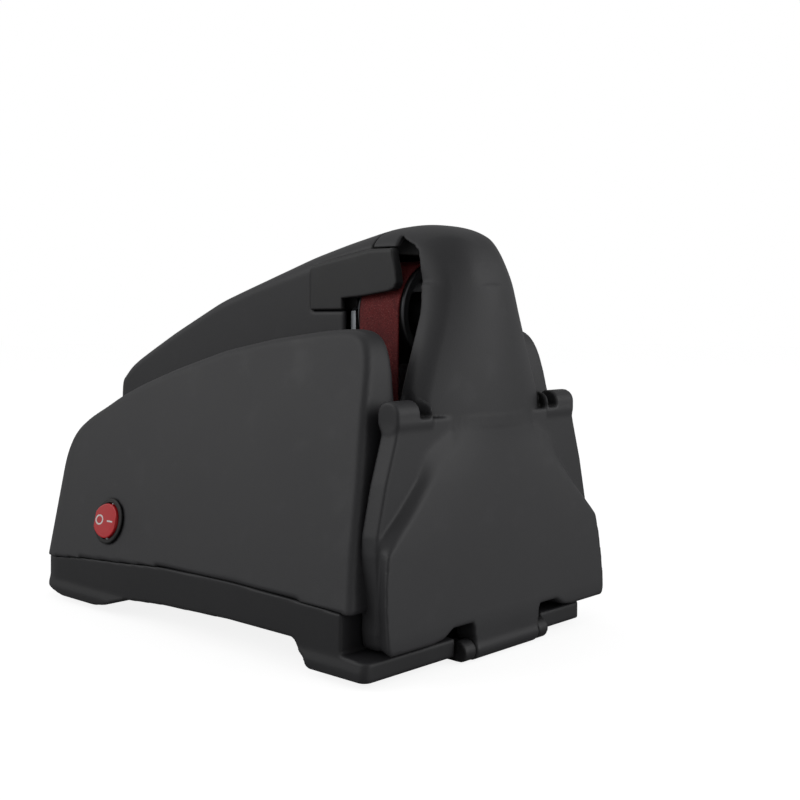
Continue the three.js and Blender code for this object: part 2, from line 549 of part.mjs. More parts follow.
// Lower tray: flat feet, arched underside, band up to the seam, and two lugs for the door's hinge.
function makeTray() {
  const seam = seamLine.map(([s, z]) => [s, z - SEAM_GAP / 2]);
  const under = scaled(undersideShares, BODY_LENGTH, SEAM_CROWN);
  const front = [[0, 0], [0, TRAY.ledge], [TRAY.front, TRAY.ledgeRear], [TRAY.front, seam[0][1]]];
  const profile = [...front, ...seam.filter(([s]) => s > TRAY.front), ...[...under].reverse().slice(0, -1)];
  const bandHalf = FOOT_HALF_WIDTH - TRAY.step;
  const levels = [[0, FOOT_HALF_WIDTH], [TRAY.ledge / 2, FOOT_HALF_WIDTH], [TRAY.ledge, bandHalf],
    [SEAM_CROWN + CUT, bandHalf - TRAY.topStep]];
  const form = (inset) => loft(levels.map(([z, half]) => planRing(half, BODY_LENGTH, z, inset)));
  const outer = form(0).intersect(prismY(inX(profile), ...fullWidth));
  const room = block(along(TRAY.front + SKIN, pastRear), fullWidth, [TRAY.floor, WALL_TOP]);
  const inside = form(SKIN).intersect(room);
  const screwBores = screwSpots.flatMap(([x, y]) => [
    rodZ(SCREW.radius + GAP, [-CUT, TRAY.floor + CUT], x, y, SMALL),
    rodZ(SCREW.head + GAP, [-CUT, TRAY.floor - SKIN], x, y, SMALL),
  ]);
  const plateBores = plateScrewSpots.map(([x, y]) => rodZ(SCREW.radius + GAP, plateScrewHole, x, y, SMALL));
  const footHeights = [-CUT, RUBBER_FOOT.top + GAP];
  const footHoles = footSpots.map(([x, y]) => rodZ(RUBBER_FOOT.radius + GAP, footHeights, x, y));
  const tray = without(outer.subtract(inside).add(union(boardPosts())), [hingeRoom(), farCorner()]);
  const pinBore = rodY(HINGE.bore, around(0, LUG.halfWidth - LUG.wall), back(HINGE.back), HINGE.z, SMALL);
  return without(union([tray, ...bothSides(hingeLug)]), [pinBore, ...screwBores, ...plateBores, ...footHoles]);
}

function hingeLug(side) {
  const width = ordered(side * (TONGUE.halfWidth + GAP), side * LUG.halfWidth);
  const barrel = rodY(HINGE.lugRadius, width, back(HINGE.back), HINGE.z);
  const armHeights = [HINGE.z - HINGE.lugRadius, HINGE.armTop];
  return barrel.add(block(along(HINGE.back, TRAY.front + SKIN), width, armHeights));
}

function hingeRoom() {
  return block(along(-CUT, HINGE_ROOM.rear), around(0, HINGE_ROOM.halfWidth), [-CUT, HINGE_ROOM.top]);
}

function farCorner() {
  const outside = FOOT_HALF_WIDTH + CUT;
  const start = FAR_CORNER - CUT;
  const outline = [[back(-CUT), start], [back(outside - FAR_CORNER), outside], [back(-CUT), outside]];
  return prismZ(outline, -CUT, SEAM_CROWN + CUT);
}

function boardPosts() {
  const places = [BOARD.front + BOARD.postInset, BOARD.rear - BOARD.postInset];
  const sides = [BOARD.near + BOARD.postInset, BOARD.far - BOARD.postInset];
  const heights = [TRAY.floor - SINK, BOARD.z - GAP];
  return places.flatMap((s) => sides.map((y) => rodZ(POST.boardRadius, heights, back(s), y, SMALL)));
}

const plateScrewSpots = bothSides((side) => [back(PLATE_SCREW.back), side * PLATE_SCREW.y]);
const plateFlangeTop = PLATE.low + PLATE_FLANGE.thick;
const plateScrewLow = TRAY.floor - SCREW.bite * 2;
const plateScrewHole = [plateScrewLow - GAP, TRAY.floor + CUT];

function makeRubberFoot([x, y]) {
  return rodZ(RUBBER_FOOT.radius, [-BASE_LIFT, RUBBER_FOOT.top], x, y);
}

function makeBaseScrew([x, y]) {
  const top = TRAY.floor - SKIN - GAP;
  const head = rodZ(SCREW.head, [top - SCREW.headHeight, top], x, y, SMALL);
  return head.add(rodZ(SCREW.radius, [top - SCREW.bite, top + SCREW.length], x, y, SMALL));
}

function makePlateScrew([x, y]) {
  const low = plateFlangeTop + GAP;
  const head = rodZ(SCREW.head, [low, low + SCREW.headHeight], x, y, SMALL);
  return head.add(rodZ(SCREW.radius, [plateScrewLow, low + SCREW.bite], x, y, SMALL));
}

// Guard: two cheeks beside the top roller, with a thick front edge, joined behind the belt.
function makeGuard() {
  const outer = RIDGE_HALF_WIDTH + GUARD.proud;
  const inner = outer - GUARD.thick;
  const lipInner = outer - GUARD_LIP.thick;
  const edge = scaled(guardShares, GUARD.rear, GUARD.top);
  const top = [ROOF_SEAM, GUARD.rear].map((s) => [s, guardTopAt(s)]);
  const cheek = [...edge, ...top, [GUARD.rear, GUARD.lowRear], [WINDOW_REAR, GUARD.lowRear]];
  const form = prismY(inX(cheek), ...around(0, outer));
  const heights = [0, RIDGE_TOP * 2];
  const behindLip = block(along(GUARD_LIP.rear, pastRear), around(0, inner), heights);
  const space = behindLip.add(block(along(-CUT, pastRear), around(0, lipInner), heights));
  const webHeights = [GUARD.lowRear, GUARD.topRear - CUT];
  const web = block(along(GUARD.rear - SKIN, GUARD.rear), around(0, outer - SINK), webHeights);
  return form.subtract(space).add(web);
}

// Plan outline of a section through the door: a bowed face, then sides that run back to a wider place.
function doorRing(z, half, face, bow, rear, rearHalf) {
  const front = [];
  for (let i = 0; i <= DOOR_STEPS; i++) {
    const share = (2 * i) / DOOR_STEPS - 1;
    front.push([face + bow * share * share, half * share]);
  }
  return [...front, [rear, rearHalf], [rear, -rearHalf]].map(([s, y]) => [back(s), y, z]);
}

// The door's front layer, and its nose, as filled forms that an inset makes smaller.
function panelForm(inset) {
  return loft(panelShares.map(([h, w, f, b, r]) => {
    const [half, rearHalf] = [w, r].map((share) => share * FOOT_HALF_WIDTH - inset);
    return doorRing(h * RIDGE_TOP, half, f * DOOR_REAR + inset, b * DOOR_REAR, PANEL_REAR, rearHalf);
  }));
}
function noseForm(inset) {
  return loft(noseShares.map(([h, w, f, b]) => {
    const half = w * FOOT_HALF_WIDTH - inset;
    return doorRing(h * RIDGE_TOP, half, f * DOOR_REAR + inset, b * DOOR_REAR, ROOF_SEAM, half);
  }));
}

// Side view of everything behind the nose: its rear edge at the window, then the underside of its roof.
function behindNose() {
  const line = scaled(noseEdgeShares, NOSE_EDGE, RIDGE_TOP);
  const roof = GUARD.top + GAP;
  const past = ROOF_SEAM + CUT;
  const under = [[line.at(-1)[0], roof], [past, roof], [past, 0], [line[0][0], 0]];
  return prismY(inX([...line, ...under]), ...fullWidth);
}

const doorOutline = scaled(doorOutlineShares, FOOT_HALF_WIDTH, RIDGE_TOP);

// The hollow at the back of the door, inside its rim.
function doorHollow() {
  const highest = DOOR_LEVEL - DOOR_RIM.high;
  const inner = doorOutline.map(([y, z]) => [y - DOOR_RIM.side, z]);
  const side = inner.filter(([, z]) => z > TRAY.floor && z < highest);
  const low = DOOR_WAVE + DOOR_RIM.low;
  const top = [valueAt(inner.slice(OUTLINE_SIDE).map(([y, z]) => [z, y]), highest), highest];
  const half = [[side[0][0], low], ...side.filter(([, z]) => z > low), top];
  const outline = [...half, ...[...half].reverse().map(([y, z]) => [-y, z])];
  return prismX(outline, back(RECESS_FLOOR + DOOR_SKIN), back(DOOR_REAR + CUT));
}

// Everything below the wave in the door's lower edge.
function belowWave() {
  const half = [...doorOutline.slice(0, WAVE_POINTS), [doorOutline[WAVE_POINTS - 1][0], 0]];
  const outline = [...half, ...[...half].reverse().map(([y, z]) => [-y, z])];
  return prismX(outline, back(-CUT - CUT), back(PANEL_REAR));
}

function makeDoor() {
  const outline = [...doorOutline, ...[...doorOutline].reverse().map(([y, z]) => [-y, z])];
  const flange = prismX(outline, back(RECESS_FLOOR), back(DOOR_REAR)).subtract(doorHollow());
  const panel = without(panelForm(0), [panelForm(NOSE_SKIN).intersect(doorCore()), belowWave()]);
  const ears = bothSides((side) => prismY(earOutline(), side * EAR.inner, side * EAR.outer));
  const ridge = ridgeForm(ridgeLine[0][0] - SINK, ROOF_SEAM - GAP, 0);
  const flareTop = RIDGE_TOP * noseShares[6][0];
  const flare = block(along(-CUT, NOSE_EDGE), fullWidth, [NOSE_LOW, flareTop]);
  const solidNose = noseForm(0).intersect(ridge.add(flare));
  const hollowNose = noseForm(NOSE_SKIN).intersect(
    ridgeForm(ridgeLine[0][0], ROOF_SEAM + CUT, NOSE_SKIN).add(
      block(along(-CUT, ROOF_SEAM), fullWidth, [0, flareTop - NOSE_SKIN])));
  const nose = without(solidNose, [hollowNose, behindNose()]);
  const notches = bothSides((side) =>
    block(along(-CUT, NOTCH.rear), ordered(side * NOTCH.inner, side * NOTCH.outer), [DOOR_LEVEL, RIDGE_TOP]));
  const body = without(union([flange, panel, nose, ...ears]), [doorCore(), ...notches]);
  const tongue = prismY(tongueOutline(), ...around(0, TONGUE.halfWidth));
  const bore = rodY(HINGE.bore, around(0, LUG.halfWidth), back(HINGE.back), HINGE.z, SMALL);
  return body.add(tongue).subtract(bore);
}

// The middle of the door is open at the back, up into the nose.
function doorCore() {
  const front = RECESS_FLOOR + DOOR_SKIN;
  const heights = [DOOR_WAVE + DOOR_RIM.low, DOOR_LEVEL + CUT];
  return block(along(front, ROOF_SEAM), around(0, RIDGE_HALF_WIDTH), heights);
}

function earOutline() {
  const { front, rear, low, high } = EAR;
  const round = EAR_ROUND;
  const middle = front + round.front;
  const quarter = Math.PI / 2;
  const upper = arcPoints([rear - round.rear, high - round.rear], round.rear, 0, quarter, round.steps);
  const topFront = arcPoints([middle, high - round.front], round.front, quarter, quarter * 2, round.steps);
  const lowFront = arcPoints([middle, low + round.front], round.front, quarter * 2, quarter * 3, round.steps);
  return inX([[rear, low], ...upper, ...topFront, ...lowFront]);
}

// Flat in front, and round below, about the hinge.
function tongueOutline() {
  const round = arcPoints([HINGE.back, HINGE.z], HINGE.radius, Math.PI, Math.PI * 2, HINGE.steps);
  const { rear, top, front } = TONGUE;
  return inX([...round, [rear, DOOR_WAVE], [rear, top], [front, top]]);
}

function makeHingePin() {
  return rodY(HINGE.pin, around(0, LUG.halfWidth - LUG.wall - GAP), back(HINGE.back), HINGE.z, SMALL);
}

// Closed outline of the belt's path at a distance outside the rollers.
function beltOutline(grow) {
  const leaves = -Math.asin((TOP_ROLLER.radius - PULLEY.radius) / (TOP_ROLLER.z - PULLEY.z));
  const arc = (wheel, from, to, steps) => arcPoints([wheel.y, wheel.z], wheel.radius + grow, from, to, steps);
  const far = [
    ...arc(TOP_ROLLER, Math.PI / 2, leaves, BELT_STEPS.top),
    ...arc(PULLEY, leaves, -Math.PI / 2, BELT_STEPS.pulley),
  ];
  const near = far.slice(1, -1).reverse().map(([y, z]) => [-y, z]);
  return [...far, ...near];
}

const beltFront = BELT.middle - BELT.width / 2;
const beltRear = BELT.middle + BELT.width / 2;
const rollerFront = BELT.middle - ROLLER_LENGTH / 2;
const rollerRear = BELT.middle + ROLLER_LENGTH / 2;

function makeBelt() {
  const inside = prismX(beltOutline(GAP), ...along(beltRear + CUT, beltFront - CUT));
  return prismX(beltOutline(GAP + BELT.thick), ...along(beltRear, beltFront)).subtract(inside);
}

// The top roller: a wheel with a bearing seat in its hub and a thin flange behind the belt.
function makeRoller(spot) {
  const { radius, web, rim, hub } = spot;
  const [flange, seat, inner] = [radius + FLANGE.radius, BEARING.radius + GAP, radius - rim];
  const floor = ROLLER_LENGTH - BEARING.seat;
  const [low, high] = around(ROLLER_LENGTH / 2, web / 2);
  const profile = [
    [ROLLER_BORE, 0], [hub, 0], [hub, low], [inner, low], [inner, 0], [flange, 0], [flange, FLANGE.width],
    [radius, FLANGE.width], [radius, ROLLER_LENGTH], [inner, ROLLER_LENGTH], [inner, high], [hub, high],
    [hub, ROLLER_LENGTH], [seat, ROLLER_LENGTH], [seat, floor], [ROLLER_BORE, floor], [ROLLER_BORE, 0],
  ];
  return turnedX(profile, rollerRear, spot, WIDE);
}

function makeBearing(spot) {
  const front = rollerFront + BEARING.inset;
  return ringX(AXLE.radius + BORE_GAP, BEARING.radius, front, front + BEARING.width, spot, MIDDLE);
}

function makeClip(spot) {
  const rear = rollerFront - GAP;
  return ringX(CLIP.bore, CLIP.radius, rear - CLIP.width, rear, spot, MIDDLE);
}

// An axle with a groove for its clip and a collar in front of the plate.
function makeAxle(spot, seatRear) {
  const rear = seatRear + AXLE.end;
  const length = rear - (rollerFront - AXLE.nose);
  const clip = rear - (rollerFront - GAP);
  const collar = rear - (PLATE.front - GAP);
  const { radius, groove } = AXLE;
  const profile = [
    [0, 0], [radius, 0], [radius, collar], [AXLE.collar, collar], [AXLE.collar, collar + AXLE.collarLength],
    [radius, collar + AXLE.collarLength], [radius, clip - GAP], [groove, clip - GAP],
    [groove, clip + CLIP.width + GAP], [radius, clip + CLIP.width + GAP], [radius, length], [0, length],
  ];
  return turnedX(profile, rear, spot, MIDDLE);
}

const plateRear = PLATE.front + PLATE.thick;
const blockFront = plateRear + GAP;
const blockRear = blockFront + SLIDE_BLOCK.thick;
const motorScrewSpots = bothSides((side) => ({ y: side * MOTOR.screwY, z: PULLEY.z }));

// Steel plate that carries the motor, the spring's seat and the rails, on a flange screwed to the tray.
function makePlate() {
  const { low, top, peak } = PLATE;
  const { wide, neck, shoulder, bevel } = PLATE_SIDES;
  const far = [
    [wide, low], [wide, shoulder - bevel], [neck, shoulder], [neck, top - bevel], [peak, top],
  ];
  const outline = [...far, ...[...far].reverse().map(([y, z]) => [-y, z])];
  const plate = prismX(outline, ...along(PLATE.front, plateRear));
  const flangeReach = along(PLATE.front, plateRear + PLATE_FLANGE.depth);
  const flange = block(flangeReach, around(0, wide), [low, plateFlangeTop]);
  const seatHeights = [SPRING.seat - SPRING.seatThick, SPRING.seat];
  const seatReach = along(PLATE.front, blockRear + SPRING.seatReach);
  const seat = block(seatReach, around(0, SPRING.seatHalf), seatHeights);
  const through = along(plateRear + CUT, PLATE.front - CUT);
  const hole = AXLE.radius + GAP;
  const axleHeights = [TOP_ROLLER.z - hole - TENSION_TRAVEL, TOP_ROLLER.z + hole];
  const axleSlot = block(through, around(0, hole), axleHeights);
  return without(union([plate, flange, seat, slideRails()]), [
    axleSlot,
    rodX(MOTOR.bossRadius + GAP, through, PULLEY.y, PULLEY.z),
    ...plateScrewSpots.map(([x, y]) => rodZ(SCREW.radius + GAP, [0, plateFlangeTop + CUT], x, y, SMALL)),
    ...motorScrewSpots.map(({ y, z }) => rodX(SCREW.radius + GAP, through, y, z, SMALL)),
  ]);
}

// Block that slides on the rear of the plate and carries the top axle.
function makeSlideBlock() {
  const { halfWidth, low, high } = SLIDE_BLOCK;
  const body = block(along(blockFront, blockRear), around(0, halfWidth), [low, high]);
  const through = along(blockFront - CUT, blockRear + CUT);
  return body.subtract(rodX(AXLE.radius + GAP, through, TOP_ROLLER.y, TOP_ROLLER.z));
}

// Two rails behind the plate that keep the block in line.
function slideRails() {
  const { halfWidth } = SLIDE_BLOCK;
  const outer = halfWidth + RAIL.wide;
  const reach = along(plateRear - SINK, blockRear + RAIL.depth);
  const whole = block(reach, around(0, outer), [RAIL.low, RAIL.high]);
  const roomHeights = [RAIL.low - CUT, RAIL.high + CUT];
  const room = block(along(PLATE.front - CUT, blockRear + GAP), around(0, halfWidth + GAP), roomHeights);
  return whole.subtract(room);
}

function makeSpring() {
  const { radius, bore, seat } = SPRING;
  const height = SLIDE_BLOCK.low - GAP * 2 - seat;
  const profile = [[bore, 0], [radius, 0], [radius, height], [bore, height], [bore, 0]];
  const lathe = new THREE.LatheGeometry(profile.map(([r, t]) => new THREE.Vector2(r, t)), MIDDLE);
  return solid(lathe.rotateX(Math.PI / 2).translate(back((blockFront + blockRear) / 2), 0, seat + GAP));
}

const motorFront = plateRear + GAP;
const frontCapRear = motorFront + MOTOR.cap;
const canFront = frontCapRear + GAP;
const canRear = canFront + MOTOR.length;
const rearCapFront = canRear + GAP;
const rearCapRear = rearCapFront + MOTOR.cap;
const fanFront = rearCapRear + FAN.gap;
const fanRear = fanFront + FAN.depth;
const shaftBore = SHAFT_RADIUS + BORE_GAP;
const capBore = MOTOR_BEARING.radius + GAP;
const armatureFront = canFront + ARMATURE.front;
const armatureRear = armatureFront + ARMATURE.length;
const commutatorFront = armatureRear + COMMUTATOR.gap;
const commutatorRear = commutatorFront + COMMUTATOR.length;

function makeShaft() {
  return rodX(SHAFT_RADIUS, along(rollerFront - SHAFT_END, fanRear + SHAFT_END), PULLEY.y, PULLEY.z);
}

function makePulley() {
  const { radius, web, rim, hub } = PULLEY;
  const inner = radius - rim;
  const [low, high] = around(ROLLER_LENGTH / 2, web / 2);
  const profile = [
    [shaftBore, 0], [hub, 0], [hub, low], [inner, low], [inner, 0], [radius, 0],
    [radius, ROLLER_LENGTH], [inner, ROLLER_LENGTH], [inner, high], [hub, high], [hub, ROLLER_LENGTH],
    [shaftBore, ROLLER_LENGTH], [shaftBore, 0],
  ];
  return turnedX(profile, rollerRear, PULLEY, WIDE);
}

function makePulleyNut() {
  const rear = rollerFront - GAP;
  const { y, z } = PULLEY;
  const hexagon = rodX(NUT.wide, along(rear - NUT.length, rear), y, z, NUT.sides);
  return hexagon.subtract(rodX(shaftBore, along(rear - CUT, rear + CUT), y, z));
}

function makeCan() {
  return ringX(MOTOR.radius - MOTOR.wall, MOTOR.radius, canFront, canRear, PULLEY);
}

function makeFrontCap() {
  const { radius, cap, bossRadius, bossDepth } = MOTOR;
  const front = cap + bossDepth;
  const profile = [
    [capBore, 0], [radius, 0], [radius, cap], [bossRadius, cap],
    [bossRadius, front], [capBore, front], [capBore, 0],
  ];
  const through = along(motorFront - CUT, frontCapRear + CUT);
  const bores = motorScrewSpots.map(({ y, z }) => rodX(SCREW.radius + GAP, through, y, z, SMALL));
  return without(turnedX(profile, frontCapRear, PULLEY), bores);
}

function makeRearCap() {
  return ringX(capBore, MOTOR.radius, rearCapFront, rearCapRear, PULLEY);
}

function makeMotorBearing(capFront) {
  const [front, rear] = [capFront + MOTOR_BEARING.inset, capFront + MOTOR.cap - MOTOR_BEARING.inset];
  return ringX(shaftBore, MOTOR_BEARING.radius, front, rear, PULLEY, MIDDLE);
}

function makeArmature() {
  const { radius, slots, slotRadius, slotAt } = ARMATURE;
  const through = along(armatureFront - CUT, armatureRear + CUT);
  const core = rodX(radius, along(armatureFront, armatureRear), PULLEY.y, PULLEY.z, WIDE);
  const cuts = [rodX(shaftBore, through, PULLEY.y, PULLEY.z)];
  for (let i = 0; i < slots; i++) {
    const angle = (2 * Math.PI * i) / slots;
    const [y, z] = [PULLEY.y + slotAt * Math.cos(angle), PULLEY.z + slotAt * Math.sin(angle)];
    cuts.push(rodX(slotRadius, through, y, z, SMALL));
  }
  return without(core, cuts);
}

function makeCommutator() {
  return ringX(shaftBore, COMMUTATOR.radius, commutatorFront, commutatorRear, PULLEY);
}

function makeMagnet(side) {
  const outer = MOTOR.radius - MOTOR.wall - GAP;
  const span = Math.PI * MAGNET.spanShare;
  const middle = (side * Math.PI) / 2;
  const spot = [PULLEY.y, PULLEY.z];
  const outside = arcPoints(spot, outer, middle - span, middle + span, MAGNET.steps);
  const inside = arcPoints(spot, outer - MAGNET.thick, middle + span, middle - span, MAGNET.steps);
  return prismX([...outside, ...inside], ...along(armatureRear, armatureFront));
}

function makeBrush(side) {
  const start = COMMUTATOR.radius + GAP;
  const half = BRUSH.width / 2;
  const width = ordered(side * start, side * (start + BRUSH.length));
  const [from, to] = around((commutatorFront + commutatorRear) / 2, half);
  return block(along(from, to), width, around(PULLEY.z, half));
}

function makeFan() {
  const { radius, disc, depth, hub, blades, blade } = FAN;
  const { y, z } = PULLEY;
  const plate = rodX(radius, along(fanFront, fanFront + disc), y, z, WIDE);
  const boss = rodX(hub, along(fanFront, fanRear), y, z);
  const vanes = [];
  for (let i = 0; i < blades; i++) {
    const vane = new THREE.BoxGeometry(depth, radius - hub + SINK, blade)
      .translate(-depth / 2, (radius + hub - SINK) / 2, 0)
      .rotateX((2 * Math.PI * i) / blades);
    vanes.push(solid(vane.translate(back(fanFront), y, z)));
  }
  return union([plate, boss, ...vanes]).subtract(rodX(shaftBore, along(fanFront - CUT, fanRear + CUT), y, z));
}

function makeMotorScrew({ y, z }) {
  const rear = PLATE.front - GAP;
  const head = rodX(SCREW.head, along(rear - SCREW.headHeight, rear), y, z, SMALL);
  return head.add(rodX(SCREW.radius, along(rear - SCREW.bite, frontCapRear - SINK), y, z, SMALL));
}

const boardTop = BOARD.z + BOARD.thick + GAP;

function makeBoard() {
  return block(along(BOARD.front, BOARD.rear), [BOARD.near, BOARD.far], [BOARD.z, BOARD.z + BOARD.thick]);
}

function makeTerminalBlock() {
  const front = BOARD.front + TERMINAL.front;
  const width = [BOARD.near + TERMINAL.near, BOARD.near + TERMINAL.far];
  const body = block(along(front, front + TERMINAL.length), width, [boardTop, boardTop + TERMINAL.high]);
  const deep = along(front - CUT, front + TERMINAL.holeDepth);
  const holeHeight = boardTop + TERMINAL.holeZ;
  const holes = TERMINAL_HOLES.map((y) => rodX(TERMINAL.hole, deep, BOARD.near + y, holeHeight, SMALL));
  return without(body, holes);
}

function makeCapacitor() {
  const { radius, front, rear, inset } = CAPACITOR;
  return rodX(radius, along(BOARD.front + front, BOARD.front + rear), BOARD.far - inset, boardTop + radius);
}

// A lead along a smooth curve through a few places, which are listed as distance, Y and height.
function makeLead(places) {
  const path = new THREE.CatmullRomCurve3(places.map(([s, y, z]) => new THREE.Vector3(back(s), y, z)));
  const { radius, sides, steps } = LEAD;
  const round = arcPoints([0, 0], radius, 0, (2 * Math.PI * (sides - 1)) / sides, sides - 1);
  const section = new THREE.Shape(round.map(([u, v]) => new THREE.Vector2(u, v)));
  return solid(new THREE.ExtrudeGeometry(section, { steps, bevelEnabled: false, extrudePath: path }));
}

// From the inlet's pins under the board to the inner end of the switch.
function makeSwitchLead() {
  const start = inletInside - INLET_PIN.inner - LEAD.radius;
  const beside = INLET.y - INLET_PIN.pitch * 2;
  const low = TRAY.floor + LEAD.radius + GAP * 2;
  const inner = SWITCH.depth + LEAD.radius * 2 - halfWidthAt(SWITCH.z);
  return makeLead([
    [start, beside, INLET.z],
    [start - CUT / 2, beside - INLET_PIN.pitch, INLET.z / 2],
    [start - CUT, BOARD.near * 2, low],
    [SWITCH.back + SWITCH.body, inner + CUT, low + LEAD.rise], [SWITCH.back, inner + LEAD.radius, SWITCH.z],
  ]);
}

// From the terminal block past the fan to the side of the motor.
function makeMotorLead() {
  const start = BOARD.front + TERMINAL.front - GAP;
  const [y, z] = [BOARD.near + TERMINAL_HOLES[1], boardTop + TERMINAL.holeZ];
  return makeLead([
    [start, y, z], [start - CUT, y, z], [fanRear + SHAFT_END, FAN.radius + LEAD.radius * 2, z + CUT],
    [canRear, MOTOR.radius + LEAD.radius * 2, PULLEY.z - SHAFT_RADIUS * 2],
    [canRear - MOTOR.cap * 2, MOTOR.radius + LEAD.radius * 1.5, PULLEY.z],
  ]);
}

const plastic = (color, roughness = 0.6) => new THREE.MeshStandardMaterial({ color, roughness, metalness: 0 });
const metal = (color, roughness = 0.35) => new THREE.MeshStandardMaterial({ color, roughness, metalness: 1 });
const finishes = {
  shell: plastic("#404042"),
  tray: plastic("#323234"),
  door: plastic("#424244"),
  guard: plastic("#3a3a3a"),
  darkPlastic: plastic("#1c1c1e", 0.5),
  redPlastic: plastic("#b02a30", 0.3),
  belt: plastic("#8c2a2c", 0.95),
  rubber: plastic("#161616", 0.9),
  roller: plastic("#b9bbbd", 0.4),
  steel: metal("#a9abae"),
  zinc: metal("#8f9396", 0.45),
  copper: metal("#b4703c"),
  greyPlastic: plastic("#6a6d70"),
  board: plastic("#1f5a3a"),
  iron: metal("#55585c", 0.5),
};

const sharpener = new THREE.Group();
sharpener.name = "belt_knife_sharpener";

function place(group, name, body, finish) {
  const mesh = new THREE.Mesh(geometryOf(body).translate(0, 0, BASE_LIFT), finishes[finish]);
  mesh.name = name;
  mesh.geometry.computeVertexNormals();
  group.add(mesh);
}

function subassembly() {
  const group = new THREE.Group();
  sharpener.add(group);
  return group;
}

const sideName = (side) => (side < 0 ? "near" : "far");

const casing = subassembly();
place(casing, "upper_housing", makeHousing(), "shell");
place(casing, "base_tray", makeTray(), "tray");
place(casing, "belt_guard", makeGuard(), "guard");
footSpots.forEach((spot, i) => place(casing, `rubber_foot_${i + 1}`, makeRubberFoot(spot), "rubber"));
screwSpots.forEach((spot, i) => place(casing, `base_screw_${i + 1}`, makeBaseScrew(spot), "zinc"));

const door = subassembly();
place(door, "front_door", makeDoor(), "door");
place(door, "hinge_pin", makeHingePin(), "steel");

const beltDrive = subassembly();
place(beltDrive, "abrasive_belt", makeBelt(), "belt");
place(beltDrive, "roller_frame", makePlate(), "zinc");
plateScrewSpots.forEach((spot, i) => place(beltDrive, `frame_screw_${i + 1}`, makePlateScrew(spot), "zinc"));
place(beltDrive, "top_roller", makeRoller(TOP_ROLLER), "roller");
place(beltDrive, "top_roller_bearing", makeBearing(TOP_ROLLER), "steel");
place(beltDrive, "top_axle", makeAxle(TOP_ROLLER, blockRear), "steel");
place(beltDrive, "top_clip", makeClip(TOP_ROLLER), "steel");
place(beltDrive, "tension_slide", makeSlideBlock(), "zinc");
place(beltDrive, "tension_spring", makeSpring(), "steel");

const motor = subassembly();
place(motor, "drive_pulley", makePulley(), "roller");
place(motor, "pulley_nut", makePulleyNut(), "zinc");
place(motor, "motor_shaft", makeShaft(), "steel");
place(motor, "motor_front_cap", makeFrontCap(), "zinc");
place(motor, "motor_front_bearing", makeMotorBearing(motorFront), "steel");
place(motor, "motor_can", makeCan(), "iron");
place(motor, "motor_magnet_lower", makeMagnet(-1), "iron");
place(motor, "motor_magnet_upper", makeMagnet(1), "iron");
place(motor, "armature_core", makeArmature(), "iron");
place(motor, "commutator", makeCommutator(), "copper");
bothSides((side) => place(motor, `brush_${sideName(side)}`, makeBrush(side), "darkPlastic"));
place(motor, "motor_rear_cap", makeRearCap(), "darkPlastic");
place(motor, "motor_rear_bearing", makeMotorBearing(rearCapFront), "steel");
place(motor, "cooling_fan", makeFan(), "greyPlastic");
motorScrewSpots.forEach((spot, i) => place(motor, `motor_screw_${i + 1}`, makeMotorScrew(spot), "zinc"));

const electrics = subassembly();
place(electrics, "switch_bezel", makeSwitchBezel(), "darkPlastic");
place(electrics, "switch_rocker", makeRocker(), "redPlastic");
place(electrics, "rocker_pin", makeRockerPin(), "steel");
place(electrics, "power_inlet", makeInlet(), "darkPlastic");
inletPinSpots.forEach((spot, i) => place(electrics, `inlet_pin_${i + 1}`, makeInletPin(spot), "steel"));
place(electrics, "control_board", makeBoard(), "board");
place(electrics, "terminal_block", makeTerminalBlock(), "greyPlastic");
place(electrics, "capacitor", makeCapacitor(), "darkPlastic");
place(electrics, "switch_lead", makeSwitchLead(), "darkPlastic");
place(electrics, "motor_lead", makeMotorLead(), "darkPlastic");

export default sharpener;
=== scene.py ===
import json
import math

import bpy
import numpy as np
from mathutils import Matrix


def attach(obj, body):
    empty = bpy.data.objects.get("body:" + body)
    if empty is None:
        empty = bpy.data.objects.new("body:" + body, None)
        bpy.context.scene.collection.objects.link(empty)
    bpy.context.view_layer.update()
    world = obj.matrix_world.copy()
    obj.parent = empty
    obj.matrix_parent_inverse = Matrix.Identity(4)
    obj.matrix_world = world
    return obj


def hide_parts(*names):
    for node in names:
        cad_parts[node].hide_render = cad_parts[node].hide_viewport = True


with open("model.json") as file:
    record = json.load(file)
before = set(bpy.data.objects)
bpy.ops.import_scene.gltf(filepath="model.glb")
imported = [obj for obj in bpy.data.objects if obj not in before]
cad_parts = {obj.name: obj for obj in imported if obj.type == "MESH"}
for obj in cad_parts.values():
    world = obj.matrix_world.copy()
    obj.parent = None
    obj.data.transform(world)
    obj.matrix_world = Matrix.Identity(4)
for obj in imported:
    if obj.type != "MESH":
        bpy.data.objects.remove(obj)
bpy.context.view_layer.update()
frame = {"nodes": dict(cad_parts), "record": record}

import openvdb
from mathutils import Matrix, Vector

# The electric belt knife sharpener, dressed for its picture.
# Lengths are in millimetres, apart from the stage's, and become metres where a mesh is made.
# +X points to the front door, -Y to the side with the switch, +Z up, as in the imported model.
# A place along the body is its distance behind the front edge of the tray, and heights are measured from the
# tray's lower edge, as in the part's source.

MM = 0.001

